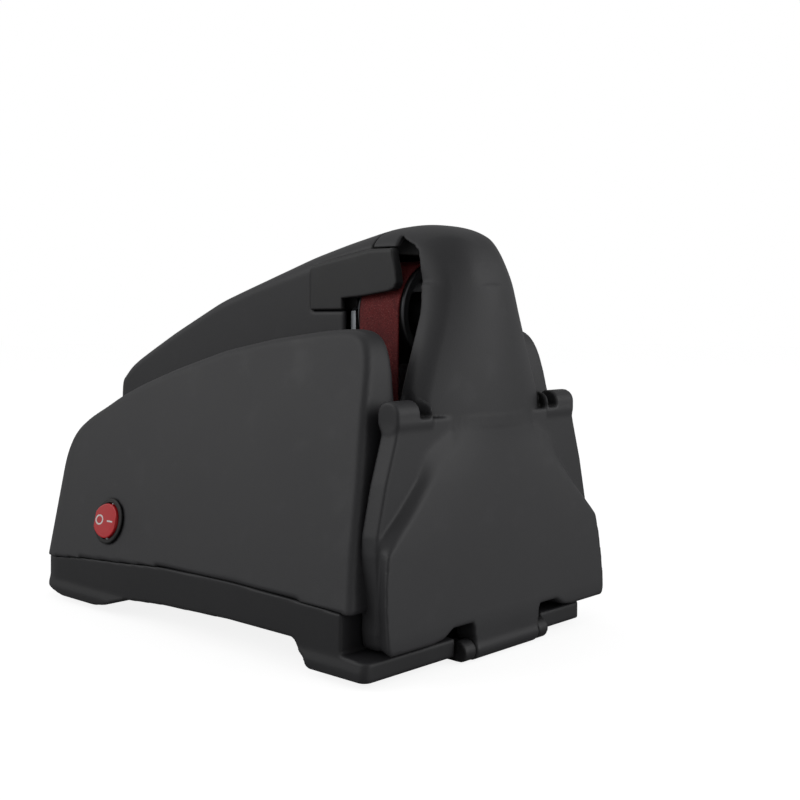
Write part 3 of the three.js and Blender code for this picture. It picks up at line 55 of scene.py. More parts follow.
# Whole body
BODY_LENGTH = 257
FRONT_REACH = 5.6  # the hinge stands this far in front of the tray
BASE_LIFT = 3  # the feet lift the tray this far off the table
FOOT_HALF_WIDTH = 85.5
SEAM_HALF_WIDTH = 83.7
SEAM_CROWN = 28
SEAM_GAP = 0.1  # the moulded edges meet closer than they are built, without a visible groove
ROOF_GAP = 0.1  # the guard's cheeks and the roofs over them meet as closely
ROOF_HANG = 2  # the roof hangs this far down between the cheeks
REAR_STEP = 0.6
WALL_TOP = 140
RIDGE_TOP = 187.5
TOP_HALF_WIDTH = 57.6
REAR_CORNER = 30
FRONT_CORNER = 4
SKIN = 2.8
GAP = 0.3
FAR = 30  # overrun of every cut
ACROSS = -1  # where a block starts that spans the middle plane
HOUSING_ROUND = {"wall_top": 3.2, "edge": 0.5, "bore": 0.4}

# Ridge, slots and window
RIDGE_HALF_WIDTH = 26
RIDGE_FOOT = 40
RIDGE_FALL = 3  # the crest's line ends this far before the steep rear
RIDGE_ROUND = {"rear": 1.5, "seam": 0.4, "foot": 1.2}
CROWN_DROP = 11
CROWN_POWER = 2.5
LEAST_STEEPNESS = 0.5  # keeps the distances finite in the middle of the ridge
SLOT_WIDTH = 20
SLOT_FLOOR = 100
SLOT_FLOOR_REAR = 78
SLOT_LEVEL_LENGTH = 130
SLOT_ROUND = {"floor": 1.5, "mouth": 1.8}
FLOOR_CUT = 5  # the cuts through the slot's floor reach this far above it
NOSE_EDGE = 22.4
ROOF_SEAM = 55
WINDOW_REAR = 72.5
WINDOW_MARGIN = 2  # the window is cut this far past the ridge's sides
WINDOW_ROUND = 0.4
GUARD = {
    "front": 37.8, "rear": 93.8, "proud": 1.2, "thick": 2.6, "low_rear": 148.5, "top": 176, "top_rear": 170,
}
GUARD_LIP = {"rear": 42.8, "thick": 5}  # the thick front edge of its cheeks
GUARD_WEB = {"below_top": 5, "inside": 1}
GUARD_ROUND = {"shoulder": 2.2, "cheek": 0.5, "lip": 0.4}

# Belt drive
BELT = {"width": 24.4, "thick": 1.2, "middle": 51.3, "rim_points": 7, "arc_steps": 48}
TOP_ROLLER = {"radius": 23, "z": 146.4, "web": 5, "rim": 4, "hub": 10.5}
PULLEY = {"radius": 24, "z": 62}
ROLLER = {
    "length": 27.6, "edge": 0.5, "flange": 1, "flange_width": 1.3, "seat_radius": 7.3, "seat_depth": 7.5,
    "bore": 4.2, "facets": 96,
}

# Front door
DOOR_LEVEL = 103
DOOR_REAR = 14
DOOR_SKIN = 2.6
DOOR_RIM = {"side": 6, "low": 8, "high": 7}
CORE_RISE = 5  # the hollow behind the panel reaches this far above the door's level
RECESS_FLOOR = 4.5
PANEL_REAR = 5.2
PANEL_OVERLAP = 1
PANEL_SLOPE = {"least": 1.5, "shares": (-0.5, 1)}  # depth and reach of the panel's sloping edges
NOSE_LOW = 97
NOSE_SKIN = 3.1
NOSE_FLARE_ROW = 6  # from this row of its shares on, the nose keeps within the ridge's dome
EAR = {"inner": 40, "outer": 61.8, "low": 96.5, "high": 110.5, "front": 4, "rear": 16}
NOTCH = {"inner": 41.2, "outer": 48, "rear": 20}
HINGE = {"back": -0.6, "z": 2.1, "radius": 5, "lug_radius": 4.7, "arm_top": 5.5}
TONGUE = {"half_width": 22.2, "rear": 3.4, "top": 18, "front": -4.2, "shoulder": 0.5}
LUG_HALF_WIDTH = 29.6
LUG_WALL = 1.5  # the pin's bore ends this far inside the lugs' outer faces
DOOR_WAVE = 14.2
DOOR_ROUND = {
    "layer": 1.2, "panel_side": 1.2, "panel_foot": 1.4, "panel_top": 0.8, "panel_join": 0.5, "ear_end": 5.5,
    "ear": 1.2, "nose_side": 5, "nose_dome": 3, "roof_seam": 0.4, "nose_edge": 0.8, "nose_join": 0.3,
    "notch": 0.8, "notch_corner": 1, "tongue": 0.8, "tongue_join": 0.6,
}

# Tray
TRAY = {
    "front": 15, "half_width": 84.4, "top_half_width": 83.8, "floor": 14, "ledge": 8, "ledge_rear": 9,
    "over_seam": 5,
}
FAR_CORNER = 60.8  # the far front corner is cut off where y exceeds s by more than this
HINGE_ROOM = {"half_width": 30.6, "rear": 13, "top": 16}
TRAY_ROUND = {
    "foot": 0.8, "seam": 0.5, "ledge": 1.2, "inner_corner": 2, "floor": 1, "inner_edge": 0.6, "far_corner": 1,
    "lug": 0.6, "arm": 0.5, "screw": 0.2,
}

BASE_SCREWS = [(38, 67), (214, 58)]
SCREW_HEAD = 3.6
POST = {"radius": 4.6, "bore": 1.9, "low": 16, "top": 35, "bite": 1}
FOOT_PLACES = [(20, -62), (20, 50), (209, -66), (209, 66)]
FOOT_RADIUS = 8
FOOT_TOP = 3
PIN_BORE = 2.1

# Switch, at its place on the near side wall, and power inlet
SWITCH = {
    "back": 184.6, "z": 43.2, "bezel": 11.5, "body": 9.9, "proud": 1.6, "depth": 22, "well": 9.1,
    "well_depth": 6,
}
SWITCH_ROUND = {"rim": 0.7, "body": 0.6, "join": 0.3, "well": 0.4, "well_edge": 0.5}
ROCKER = {
    "radius": 8.6, "top": 4, "low": 3.4, "tip": 6, "dish": 44, "dish_depth": 1, "pin_depth": 0.5,
    "mark": 0.8, "mark_drop": 0.8, "ring_x": -4.5, "ring_radius": 2.2, "bar_x": 3.2, "bar_half": 2.2,
}
ROCKER_ROUND = {"rim": 0.7, "barrel": 0.3, "dish": 0.4}
INLET = {
    "y": 22, "z": 46, "half_width": 13, "half_height": 9.5, "inside": 235.2, "edge": 2.5, "flange_edge": 2,
    "boss_front": 248, "boss_rear": 254.9, "corner": 1, "boss_foot": 0.5, "hole_edge": 0.3,
}

# The box of space in which each piece is worked out, and the step of its grid
GRIDS = {
    "housing": {"s": (2, 259), "y": (-86, 86), "h": (12, 189), "step": 1.15},
    "tray": {"s": (-7, 259), "y": (-87, 87), "h": (-2, 31), "step": 0.8},
    "door": {"s": (-7.5, 57), "y": (-76, 76), "h": (-5, 189), "step": 0.8},
    "guard": {"s": (37, 96), "y": (-28.5, 28.5), "h": (147, 178), "step": 0.5},
}
BENCHES = {
    "bezel": {"half": 12.5, "h": (-23, 3), "step": 0.3},
    "rocker": {"half": 9.5, "h": (-4.5, 5.5), "step": 0.2},
}
# The length over which the bends of each line are eased
EASE = {
    "slot": 6, "ridge": 3, "crown": 12, "seam": 5, "tray_side": 0.6, "underside": 1.2, "panel": 1.2,
    "wave": 0.6, "nose": 4,
}

# Finishes
PAINTED_SHADE_REACH = 5  # painted shade darkens corners and creases within this many millimetres
PLASTIC_ROUGHNESS = 0.5
GRAIN = {"plastic": 0.03, "belt": 0.25, "rocker": 0.01, "metal": 0.01, "rubber": 0.05, "board": 0.05}
AROUND_X = (4.0, 0.15, 0.15)  # draws the noise out into rings around X, as turning leaves them
TRACKS = (1.0, 6.0, 1.0)  # draws it out into tracks across the board
SHARP_ANGLE = 40
WORN_EDGE = {"width": 0.25, "segments": 2}

# Stage
FLOOR_HALF = 6
FLOOR_GLOW = 0.86  # lifts the floor to white where the camera sees it, and lights nothing
SKY_LEVEL = 0.36
# Each light's name, place, target, size in metres and power
LIGHTS = [
    ("key", (-0.9, -1.3, 0.9), (0, 0, 0.1), (1.4, 1.2), 8.5),
    ("front", (1.6, 0.8, 0.6), (0.1, 0, 0.1), (1.6, 1.4), 12),
    ("top", (-0.6, 0.2, 1.5), (0, 0, 0.1), (1.6, 1.0), 1.2),
]
# The camera's place in millimetres, its turn in degrees, and its lens and horizon in pixels of the picture
CAMERA = {
    "ahead": 321.11, "side": -408.16, "height": 143.73, "yaw": 133.1, "horizon_drop": 80, "focal": 1179,
}
PICTURE_WIDTH = 800
SENSOR_WIDTH = 36

# Shares of BODY_LENGTH and WALL_TOP: side view of the walls, from the front over the top to the rear
WALL_SHARES = [
    (0.0136, 0.062), (0.036, 0.17), (0.0514, 0.327), (0.0638, 0.556), (0.0735, 0.676), (0.0786, 0.757),
    (0.0833, 0.857), (0.0887, 0.918), (0.098, 0.963), (0.1148, 0.992), (0.1463, 1), (0.2097, 0.993),
    (0.334, 0.966), (0.462, 0.925), (0.597, 0.858), (0.7, 0.797), (0.765, 0.75), (0.808, 0.709),
    (0.856, 0.6685), (0.885, 0.6335), (0.907, 0.6), (0.928, 0.55), (0.951, 0.488), (0.97, 0.4285),
    (0.992, 0.27), (1.01, 0.1),
]
# Shares of BODY_LENGTH and SEAM_CROWN
SEAM_SHARES = [
    (-0.03, 0.9), (0.035, 0.911), (0.183, 0.968), (0.324, 1), (0.446, 0.989), (0.537, 0.971),
    (0.681, 0.868), (0.798, 0.8), (0.912, 0.693), (1.03, 0.58),
]
# Shares of BODY_LENGTH and SEAM_CROWN: underside of the tray
UNDERSIDE_SHARES = [
    (-0.1, 0), (0.137, 0), (0.139, 0.136), (0.156, 0.218), (0.168, 0.393), (0.34, 0.396), (0.53, 0.332),
    (0.648, 0.246), (0.715, 0.054), (0.753, 0), (0.869, 0), (0.906, 0.066), (1.03, 0.12),
]
# Shares of BODY_LENGTH and RIDGE_TOP: middle of the ridge's top, from the nose to the rear
RIDGE_SHARES = [
    (0.01, 0.851), (0.0214, 0.904), (0.034, 0.935), (0.0467, 0.957), (0.065, 0.975), (0.0856, 0.987),
    (0.11, 0.995), (0.14, 1), (0.183, 0.997), (0.21, 0.993), (0.261, 0.978), (0.307, 0.965),
    (0.393, 0.937), (0.525, 0.881), (0.648, 0.832), (0.802, 0.747), (0.903, 0.685), (0.949, 0.655),
    (0.973, 0.633), (0.9845, 0.598), (0.991, 0.55), (0.993, 0.42),
]
# Shares of BODY_LENGTH and CROWN_DROP
CROWN_SHARES = [(0, 2.4), (0.06, 2.3), (0.14, 1.6), (0.25, 1.1), (0.39, 1), (0.52, 0.64), (1, 0.64)]
# Shares of RIDGE_TOP, FOOT_HALF_WIDTH, DOOR_REAR, DOOR_REAR and FOOT_HALF_WIDTH: the door's raised panel, by
# height, half-width of the face, place of the face's middle, its bow, and half-width at PANEL_REAR
PANEL_SHARES = [
    (0.0524, 0.88, -0.352, 0.03, 0.828), (0.0642, 0.896, -0.355, 0.03, 0.842),
    (0.0856, 0.899, -0.345, 0.03, 0.846), (0.15, 0.897, -0.285, 0.043, 0.85),
    (0.214, 0.883, -0.23, 0.057, 0.848), (0.267, 0.858, -0.185, 0.066, 0.85),
    (0.289, 0.801, -0.167, 0.07, 0.865), (0.305, 0.766, -0.153, 0.073, 0.83),
    (0.348, 0.658, -0.117, 0.083, 0.73), (0.412, 0.527, -0.063, 0.11, 0.6),
    (0.449, 0.468, -0.03, 0.16, 0.566), (0.487, 0.423, 0, 0.25, 0.55), (0.52, 0.404, 0.014, 0.36, 0.553),
    (0.548, 0.398, 0.014, 0.447, 0.56),
]
# Shares of RIDGE_TOP, FOOT_HALF_WIDTH, DOOR_REAR and DOOR_REAR: the nose, by height, half-width, middle
# and bow
NOSE_SHARES = [
    (0.516, 0.515, 0.014, 0.7), (0.58, 0.5, 0.014, 0.75), (0.647, 0.452, 0.03, 0.786),
    (0.704, 0.405, 0.06, 0.786), (0.75, 0.37, 0.09, 0.786), (0.789, 0.338, 0.12, 0.786),
    (0.858, 0.304, 0.2, 0.82), (0.9, 0.304, 0.36, 1), (0.94, 0.304, 0.55, 1.35), (1.02, 0.304, 0.8, 2),
]
# Shares of FOOT_HALF_WIDTH and RIDGE_TOP: front view of the door's rear layer, one side
DOOR_SHARES = [
    (0.36, 0.076), (0.43, 0.076), (0.5, 0.0575), (0.585, 0.0524), (0.84, 0.0524), (0.856, 0.064),
    (0.862, 0.09), (0.862, 0.17), (0.866, 0.26), (0.86, 0.3), (0.8, 0.41), (0.735, 0.5), (0.705, 0.548),
]
# Shares of NOSE_EDGE and RIDGE_TOP: the nose's rear edge at the window
BEHIND_NOSE_SHARES = [
    (0.973, 0.78), (0.987, 0.8), (1.085, 0.86), (1.183, 0.908), (1.246, 0.928), (1.375, 0.941),
    (1.638, 0.955), (1.804, 0.967),
]
# Shares of GUARD rear and GUARD top: lower and front edge of a guard cheek, from the window's rear corner
GUARD_SHARES = [
    (0.773, 0.873), (0.616, 0.879), (0.457, 0.8895), (0.42, 0.896), (0.403, 0.911), (0.4105, 0.938),
    (0.431, 0.98), (0.4355, 0.998),
]

FRONT_X = (BODY_LENGTH - FRONT_REACH) / 2
LEAN = (SEAM_HALF_WIDTH - TOP_HALF_WIDTH) / (WALL_TOP - SEAM_CROWN)
LEAN_ANGLE = math.atan(LEAN)
WINDOW_HALF_WIDTH = RIDGE_HALF_WIDTH + WINDOW_MARGIN
UNDER_SLOTS = SLOT_FLOOR - 2 * SKIN


def scaled(shares, *lengths):
    return [tuple(share * length for share, length in zip(row, lengths)) for row in shares]


def half_width_at(height):
    return SEAM_HALF_WIDTH - LEAN * (height - SEAM_CROWN)


# Shapes as distances: negative inside, positive outside, in millimetres.


class Space:
    """A box of space on an even grid: s is the distance behind the tray's front edge, h the height."""

    def __init__(self, s, y, h, step):
        self.step = step
        self.low = (FRONT_X - s[1], y[0], h[0])
        counts = [int(math.ceil((b - a) / step)) + 1 for a, b in (s, y, h)]
        axes = [start + step * np.arange(count, dtype=np.float32) for start, count in zip(self.low, counts)]
        x, self.y, self.h = np.meshgrid(*axes, indexing="ij", sparse=True)
        self.s = FRONT_X - x
        self.side = np.abs(self.y)
        self.shape = tuple(counts)

    def along(self, axis, points, ease=0.0):
        """The value of a line of points at each place on an axis, with its bends eased over a length."""
        places = axis.ravel()
        rising = sorted(points)
        values = np.interp(places, [p for p, _ in rising], [v for _, v in rising])
        if ease:
            reach = int(math.ceil(3 * ease / self.step))
            weights = np.exp(-0.5 * (np.arange(-reach, reach + 1) * self.step / ease) ** 2)
            ends = np.pad(values, reach, mode="reflect", reflect_type="odd")
            values = np.convolve(ends, weights / weights.sum(), mode="valid")
        return values.astype(np.float32).reshape(axis.shape)

    def by_height(self, rows, ease):
        """Each further column of a table whose first column is the height."""
        return [self.along(self.h, [(row[0], row[k]) for row in rows], ease) for k in range(1, len(rows[0]))]

    def slope(self, axis, values):
        return (np.gradient(values.ravel()) / self.step).astype(np.float32).reshape(axis.shape)

    def outline(self, points, u, v):
        """Distance to a closed outline in the plane of two of the axes."""
        u, v = np.broadcast_arrays(u, v)
        nearest = np.full(u.shape, np.inf, dtype=np.float32)
        inside = np.zeros(u.shape, dtype=bool)
        for (u0, v0), (u1, v1) in zip(points, points[1:] + points[:1]):
            du, dv = u1 - u0, v1 - v0
            length = du * du + dv * dv
            if not length:
                continue
            share = np.clip(((u - u0) * du + (v - v0) * dv) / length, 0, 1)
            nearest = np.minimum(nearest, (u - u0 - share * du) ** 2 + (v - v0 - share * dv) ** 2)
            if dv:
                crossed = ((v0 > v) != (v1 > v)) & (u < u0 + (v - v0) * du / dv)
                inside ^= crossed
        return np.where(inside, -1, 1).astype(np.float32) * np.sqrt(nearest).astype(np.float32)

    def block(self, s, side, h, radius=0.0):
        """A box with rounded edges, or a pair of them where side starts above zero."""
        walls = [between(self.s, *s), between(self.side, *side), between(self.h, *h)]
        return meet(meet(walls[0], walls[1], radius), walls[2], radius)

    def mesh(self, name, field):
        """The surface where the distance is zero, as an object in metres."""
        reach = 3 * self.step
        grid = openvdb.FloatGrid(reach)
        grid.copyFromArray(np.clip(np.broadcast_to(field, self.shape), -reach, reach).astype(np.float32))
        points, quads = grid.convertToQuads(0.0)
        points = (points * self.step + np.array(self.low) + np.array((0, 0, BASE_LIFT))) * MM
        return object_of(name, points, quads[:, ::-1])


def object_of(name, points, faces):
    """A smooth object whose faces look outwards."""
    corners = points[faces]
    volume = sum(
        np.einsum("ij,ij->", corners[:, 0], np.cross(corners[:, k], corners[:, k + 1])) for k in (1, 2)
    )
    mesh = bpy.data.meshes.new(name)
    mesh.from_pydata(points.tolist(), [], (faces if volume >= 0 else faces[:, ::-1]).tolist())
    mesh.shade_smooth()
    made = bpy.data.objects.new(name, mesh)
    bpy.context.scene.collection.objects.link(made)
    return made


def between(value, low, high):
    return np.abs(value - (low + high) / 2) - (high - low) / 2


def meet(a, b, radius=0.0):
    """Where both shapes are, with the edge between them rounded."""
    if not radius:
        return np.maximum(a, b)
    over = np.hypot(np.maximum(a + radius, 0), np.maximum(b + radius, 0))
    return np.minimum(np.maximum(a, b), -radius) + over


def join(a, b, radius=0.0):
    """Where either shape is, with a fillet between them."""
    return -meet(-a, -b, radius)


def cut(a, b, radius=0.0):
    """Where the first shape is and the second isn't."""
    return meet(a, -b, radius)


def smoothed(points, passes=24, spacing=1.0):
    """A line of points as a finer line with its bends eased, its ends kept."""
    points = np.array(points, dtype=float)
    run = np.concatenate([[0], np.cumsum(np.hypot(*np.diff(points, axis=0).T))])
    places = np.linspace(0, run[-1], max(2, int(run[-1] / spacing)))
    line = np.stack([np.interp(places, run, points[:, k]) for k in (0, 1)], axis=1)
    for _ in range(passes):
        line[1:-1] = (line[:-2] + 2 * line[1:-1] + line[2:]) / 4
    return [tuple(p) for p in line]


# Lines of the body.
WALL_LINE = smoothed(scaled(WALL_SHARES, BODY_LENGTH, WALL_TOP))
RIDGE_LINE = scaled(RIDGE_SHARES, BODY_LENGTH, RIDGE_TOP)
RIDGE_REAR = RIDGE_LINE[-1][0]
RIDGE_CURVE = smoothed(RIDGE_LINE, passes=16)
SEAM_LINE = scaled(SEAM_SHARES, BODY_LENGTH, SEAM_CROWN)


def body_form(space):
    """Everything inside the leaning sides, the rounded rear and the side view of the walls."""
    side = (space.side - half_width_at(space.h)) * math.cos(LEAN_ANGLE)
    plan = meet(side, space.s - (BODY_LENGTH - REAR_STEP), REAR_CORNER)
    view = [*WALL_LINE, (WALL_LINE[-1][0], -FAR), (-FAR, -FAR), (-FAR, WALL_LINE[0][1])]
    return meet(plan, space.outline(view, space.s, space.h), HOUSING_ROUND["wall_top"])


def slot_spaces(space):
    """The two knife slots, open above and at both ends."""
    floor = [(-FAR, SLOT_FLOOR), (SLOT_LEVEL_LENGTH, SLOT_FLOOR), (BODY_LENGTH, SLOT_FLOOR_REAR)]
    fall = (SLOT_FLOOR - SLOT_FLOOR_REAR) / (BODY_LENGTH - SLOT_LEVEL_LENGTH)
    floor.append((BODY_LENGTH + FAR, SLOT_FLOOR_REAR - fall * FAR))
    walls = between(space.side, RIDGE_HALF_WIDTH, RIDGE_HALF_WIDTH + SLOT_WIDTH)
    return meet(walls, space.along(space.s, floor, EASE["slot"]) - space.h, SLOT_ROUND["floor"])


def ridge_form(space):
    """The tall centre ridge with its domed top."""
    crest = [(s, h) for s, h in RIDGE_CURVE if s < RIDGE_REAR - RIDGE_FALL]
    top = space.along(space.s, crest, EASE["ridge"])
    drop = space.along(space.s, scaled(CROWN_SHARES, BODY_LENGTH, CROWN_DROP), EASE["crown"])
    across = space.side / RIDGE_HALF_WIDTH
    over = np.maximum(space.h - (top - drop), 0) / drop
    level = across**CROWN_POWER + over**2 - 1
    steep = np.hypot(CROWN_POWER * across ** (CROWN_POWER - 1) / RIDGE_HALF_WIDTH, 2 * over / drop)
    section = level / np.maximum(steep, LEAST_STEEPNESS / RIDGE_HALF_WIDTH)
    view = [*RIDGE_CURVE, (RIDGE_REAR, RIDGE_FOOT), (-FAR, RIDGE_FOOT), (-FAR, RIDGE_CURVE[0][1])]
    return meet(section, space.outline(view, space.s, space.h), RIDGE_ROUND["rear"])


def guard_top(space):
    line = [(GUARD["front"], GUARD["top"]), (ROOF_SEAM, GUARD["top"]), (GUARD["rear"], GUARD["top_rear"])]
    return space.along(space.s, line)


def window_space(space):
    """The open space around the belt, and the pocket of the guard's cheeks behind it."""
    sides = space.side - WINDOW_HALF_WIDTH
    low = UNDER_SLOTS - space.h
    cheek_inner = RIDGE_HALF_WIDTH + GUARD["proud"] - GUARD["thick"] - GAP
    over_cheeks = meet(space.h - guard_top(space) - ROOF_GAP, cheek_inner - space.side)
    roof = join(over_cheeks, space.h - guard_top(space) + ROOF_HANG)
    under_roof = meet(space.s - WINDOW_REAR, roof, WINDOW_ROUND)
    in_front = space.s - ROOF_SEAM - ROOF_GAP
    pocket = meet(meet(space.s - GUARD["rear"] - GAP, GUARD["low_rear"] - GAP - space.h), roof)
    opening = meet(join(in_front, under_roof), low)
    return meet(join(opening, pocket), sides)


def make_housing():
    space = Space(**GRIDS["housing"])
    walls = cut(body_form(space), slot_spaces(space), SLOT_ROUND["mouth"])
    ridge = meet(ridge_form(space), ROOF_SEAM - space.s, RIDGE_ROUND["seam"])
    outer = join(walls, ridge, RIDGE_ROUND["foot"])
    shell = cut(outer, outer + SKIN)
    seam = space.along(space.s, SEAM_LINE, EASE["seam"]) + SEAM_GAP / 2 - space.h
    shell = meet(shell, seam, HOUSING_ROUND["edge"])
    floors = (UNDER_SLOTS, SLOT_FLOOR + FLOOR_CUT)
    beside_belt = space.block((-FAR, WINDOW_REAR), (ACROSS, WINDOW_HALF_WIDTH), floors)
    behind_nose_low = space.block((-FAR, NOSE_EDGE + 2 * GAP), (ACROSS, NOTCH["outer"]), floors)
    for opening in (window_space(space), beside_belt, behind_nose_low):
        shell = cut(shell, opening, HOUSING_ROUND["edge"])
    shell = cut(shell, switch_bore(space, SWITCH["body"] + GAP), HOUSING_ROUND["bore"])
    boss_edge = INLET["edge"] + INLET["flange_edge"]
    boss = inlet_block(space, INLET["boss_front"], INLET["boss_rear"], boss_edge, INLET["corner"])
    field = inlet_block(space, INLET["boss_rear"], BODY_LENGTH + FAR, boss_edge, INLET["corner"])
    hole = inlet_block(space, INLET["inside"] - GAP, BODY_LENGTH + FAR, GAP)
    shell = cut(join(shell, boss, INLET["boss_foot"]), field, INLET["boss_foot"])
    shell = cut(shell, hole, INLET["hole_edge"])
    for s, y in BASE_SCREWS:
        about_screw = np.hypot(space.s - s, space.side - y)
        post = meet(about_screw - POST["radius"], POST["low"] - space.h)
        shell = join(shell, meet(post, outer + POST["bite"]))
        shell = cut(shell, meet(about_screw - POST["bore"], space.h - POST["top"]))
    return space.mesh("housing_shell", shell)


def inlet_block(space, front, rear, grow, radius=0.0):
    """A rounded block about the middle of the power inlet."""
    half_width, half_height = INLET["half_width"], INLET["half_height"]
    across = between(space.y, INLET["y"] - half_width - grow, INLET["y"] + half_width + grow)
    up = between(space.h, INLET["z"] - half_height - grow, INLET["z"] + half_height + grow)
    return meet(meet(across, up, radius), between(space.s, front, rear), radius)


def switch_bore(space, radius):
    """The round bore through the near side wall, square to it."""
    forward = SWITCH["back"] - space.s
    out, up = space.y + half_width_at(SWITCH["z"]), space.h - SWITCH["z"]
    along_wall = math.cos(LEAN_ANGLE) * up + math.sin(LEAN_ANGLE) * out
    inward = math.cos(LEAN_ANGLE) * out - math.sin(LEAN_ANGLE) * up
    return meet(np.hypot(forward, along_wall) - radius, inward - SWITCH["depth"])


def about_hinge(space):
    """The distance from the middle of the hinge pin."""
    return np.hypot(space.s - HINGE["back"], space.h - HINGE["z"])


def tray_body(space):
    """The hollow tray under the seam, with its arched underside and the ledge in front."""
    levels = [
        (-FAR, FOOT_HALF_WIDTH), (TRAY["ledge"] / 2, FOOT_HALF_WIDTH), (TRAY["ledge"], TRAY["half_width"]),
        (SEAM_CROWN + TRAY["over_seam"], TRAY["top_half_width"]),
    ]
    side = space.side - space.along(space.h, levels, EASE["tray_side"])
    plan = meet(meet(side, space.s - BODY_LENGTH, REAR_CORNER), -space.s, FRONT_CORNER)
    seam = space.h - space.along(space.s, SEAM_LINE, EASE["seam"]) + SEAM_GAP / 2
    underside = scaled(UNDERSIDE_SHARES, BODY_LENGTH, SEAM_CROWN)
    under = space.along(space.s, underside, EASE["underside"]) - space.h
    ledge_line = [(0, TRAY["ledge"]), (TRAY["front"], TRAY["ledge_rear"])]
    over_ledge = space.h - space.along(space.s, ledge_line)
    ledge = join(TRAY["front"] - space.s, over_ledge, TRAY_ROUND["ledge"])
    outer = meet(meet(plan, under, TRAY_ROUND["foot"]), seam, TRAY_ROUND["seam"])
    outer = meet(outer, ledge, TRAY_ROUND["foot"])
    behind = meet(side + SKIN, space.s - BODY_LENGTH + SKIN, REAR_CORNER - SKIN)
    behind = meet(behind, TRAY["front"] + SKIN - space.s, TRAY_ROUND["inner_corner"])
    inside = meet(behind, TRAY["floor"] - space.h, TRAY_ROUND["floor"])
    return cut(outer, inside, TRAY_ROUND["inner_edge"])


def hinge_lugs(space):
    """The two round lugs that hold the pin, each with an arm back to the tray."""
    lug_sides = (TONGUE["half_width"] + GAP, LUG_HALF_WIDTH)
    lug = meet(about_hinge(space) - HINGE["lug_radius"], between(space.side, *lug_sides), TRAY_ROUND["lug"])
    arm_heights = (HINGE["z"] - HINGE["lug_radius"], HINGE["arm_top"])
    arm = space.block((HINGE["back"], TRAY["front"] + SKIN), lug_sides, arm_heights, TRAY_ROUND["arm"])
    return join(lug, arm, TRAY_ROUND["arm"])


def make_tray():
    space = Space(**GRIDS["tray"])
    room_sides, room_heights = (ACROSS, HINGE_ROOM["half_width"]), (-FAR, HINGE_ROOM["top"])
    hinge_room = space.block((-FAR, HINGE_ROOM["rear"]), room_sides, room_heights)
    tray = cut(tray_body(space), hinge_room, TRAY_ROUND["inner_edge"])
    tray = meet(tray, (space.y - space.s - FAR_CORNER) / math.sqrt(2), TRAY_ROUND["far_corner"])
    tray = join(tray, hinge_lugs(space), TRAY_ROUND["lug"])
    tray = cut(tray, meet(about_hinge(space) - PIN_BORE, space.side - LUG_HALF_WIDTH + LUG_WALL))
    for s, y in FOOT_PLACES:
        recess = np.hypot(space.s - s, space.y - y) - FOOT_RADIUS - GAP
        tray = cut(tray, meet(recess, space.h - FOOT_TOP - GAP))
    for s, y in BASE_SCREWS:
        about_screw = np.hypot(space.s - s, space.side - y)
        head = meet(about_screw - SCREW_HEAD - GAP, space.h - TRAY["floor"] + SKIN)
        tray = cut(tray, join(head, about_screw - POST["bore"]), TRAY_ROUND["screw"])
    return space.mesh("tray_shell", tray)


def panel_form(space):
    """The raised front panel of the door, with sloping edges down to the recesses beside it."""
    rows = scaled(PANEL_SHARES, RIDGE_TOP, FOOT_HALF_WIDTH, DOOR_REAR, DOOR_REAR, FOOT_HALF_WIDTH)
    wide, middle, bow, foot = space.by_height(rows, EASE["panel"])
    front = bowed(space, wide, middle, bow)
    depth = np.maximum(PANEL_REAR - middle - bow, PANEL_SLOPE["least"])
    share = np.clip((space.s - middle - bow) / depth, *PANEL_SLOPE["shares"])
    steep = np.sqrt(1 + ((foot - wide) / depth) ** 2 + space.slope(space.h, wide) ** 2)
    sides = (space.side - wide - (foot - wide) * share) / steep
    tongue_side = TONGUE["half_width"]
    wave_rows = [(tongue_side, HINGE["z"]), (tongue_side + TONGUE["shoulder"], DOOR_WAVE)]
    wave_rows += scaled(DOOR_SHARES[:4], FOOT_HALF_WIDTH, RIDGE_TOP)
    wave_line = [(sign * y, h) for sign in (-1, 1) for y, h in wave_rows]
    wave = space.along(space.y, wave_line, EASE["wave"]) - space.h
    panel = meet(meet(front, sides, DOOR_ROUND["panel_side"]), wave, DOOR_ROUND["panel_foot"])
    return meet(panel, space.h - DOOR_LEVEL, DOOR_ROUND["panel_top"])


def bowed(space, half, middle, bow):
    """Behind a face that bows back towards both sides."""
    across = space.side / half
    return (middle + bow * across**2 - space.s) / np.sqrt(1 + (2 * bow * np.minimum(across, 1) / half) ** 2)


def nose_form(space):
    """The rounded nose that closes the front of the ridge, flared at its foot."""
    rows = scaled(NOSE_SHARES, RIDGE_TOP, FOOT_HALF_WIDTH, DOOR_REAR, DOOR_REAR)
    half, middle, bow = space.by_height(rows, EASE["nose"])
    sides = (space.side - half) / np.sqrt(1 + space.slope(space.h, half) ** 2)
    flare_top = RIDGE_TOP * NOSE_SHARES[NOSE_FLARE_ROW][0]
    allowed = join(ridge_form(space), space.h - flare_top)
    nose = meet(bowed(space, half, middle, bow), sides, DOOR_ROUND["nose_side"])
    return meet(nose, allowed, DOOR_ROUND["nose_dome"])


def behind_nose(space):
    """Everything behind the nose and under its roof."""
    edge = scaled(BEHIND_NOSE_SHARES, NOSE_EDGE, RIDGE_TOP)
    roof, past = GUARD["top"] + ROOF_GAP, ROOF_SEAM + FAR
    view = [(edge[0][0], -FAR), *edge, (edge[-1][0], roof), (past, roof), (past, -FAR)]
    return space.outline(view, space.s, space.h)


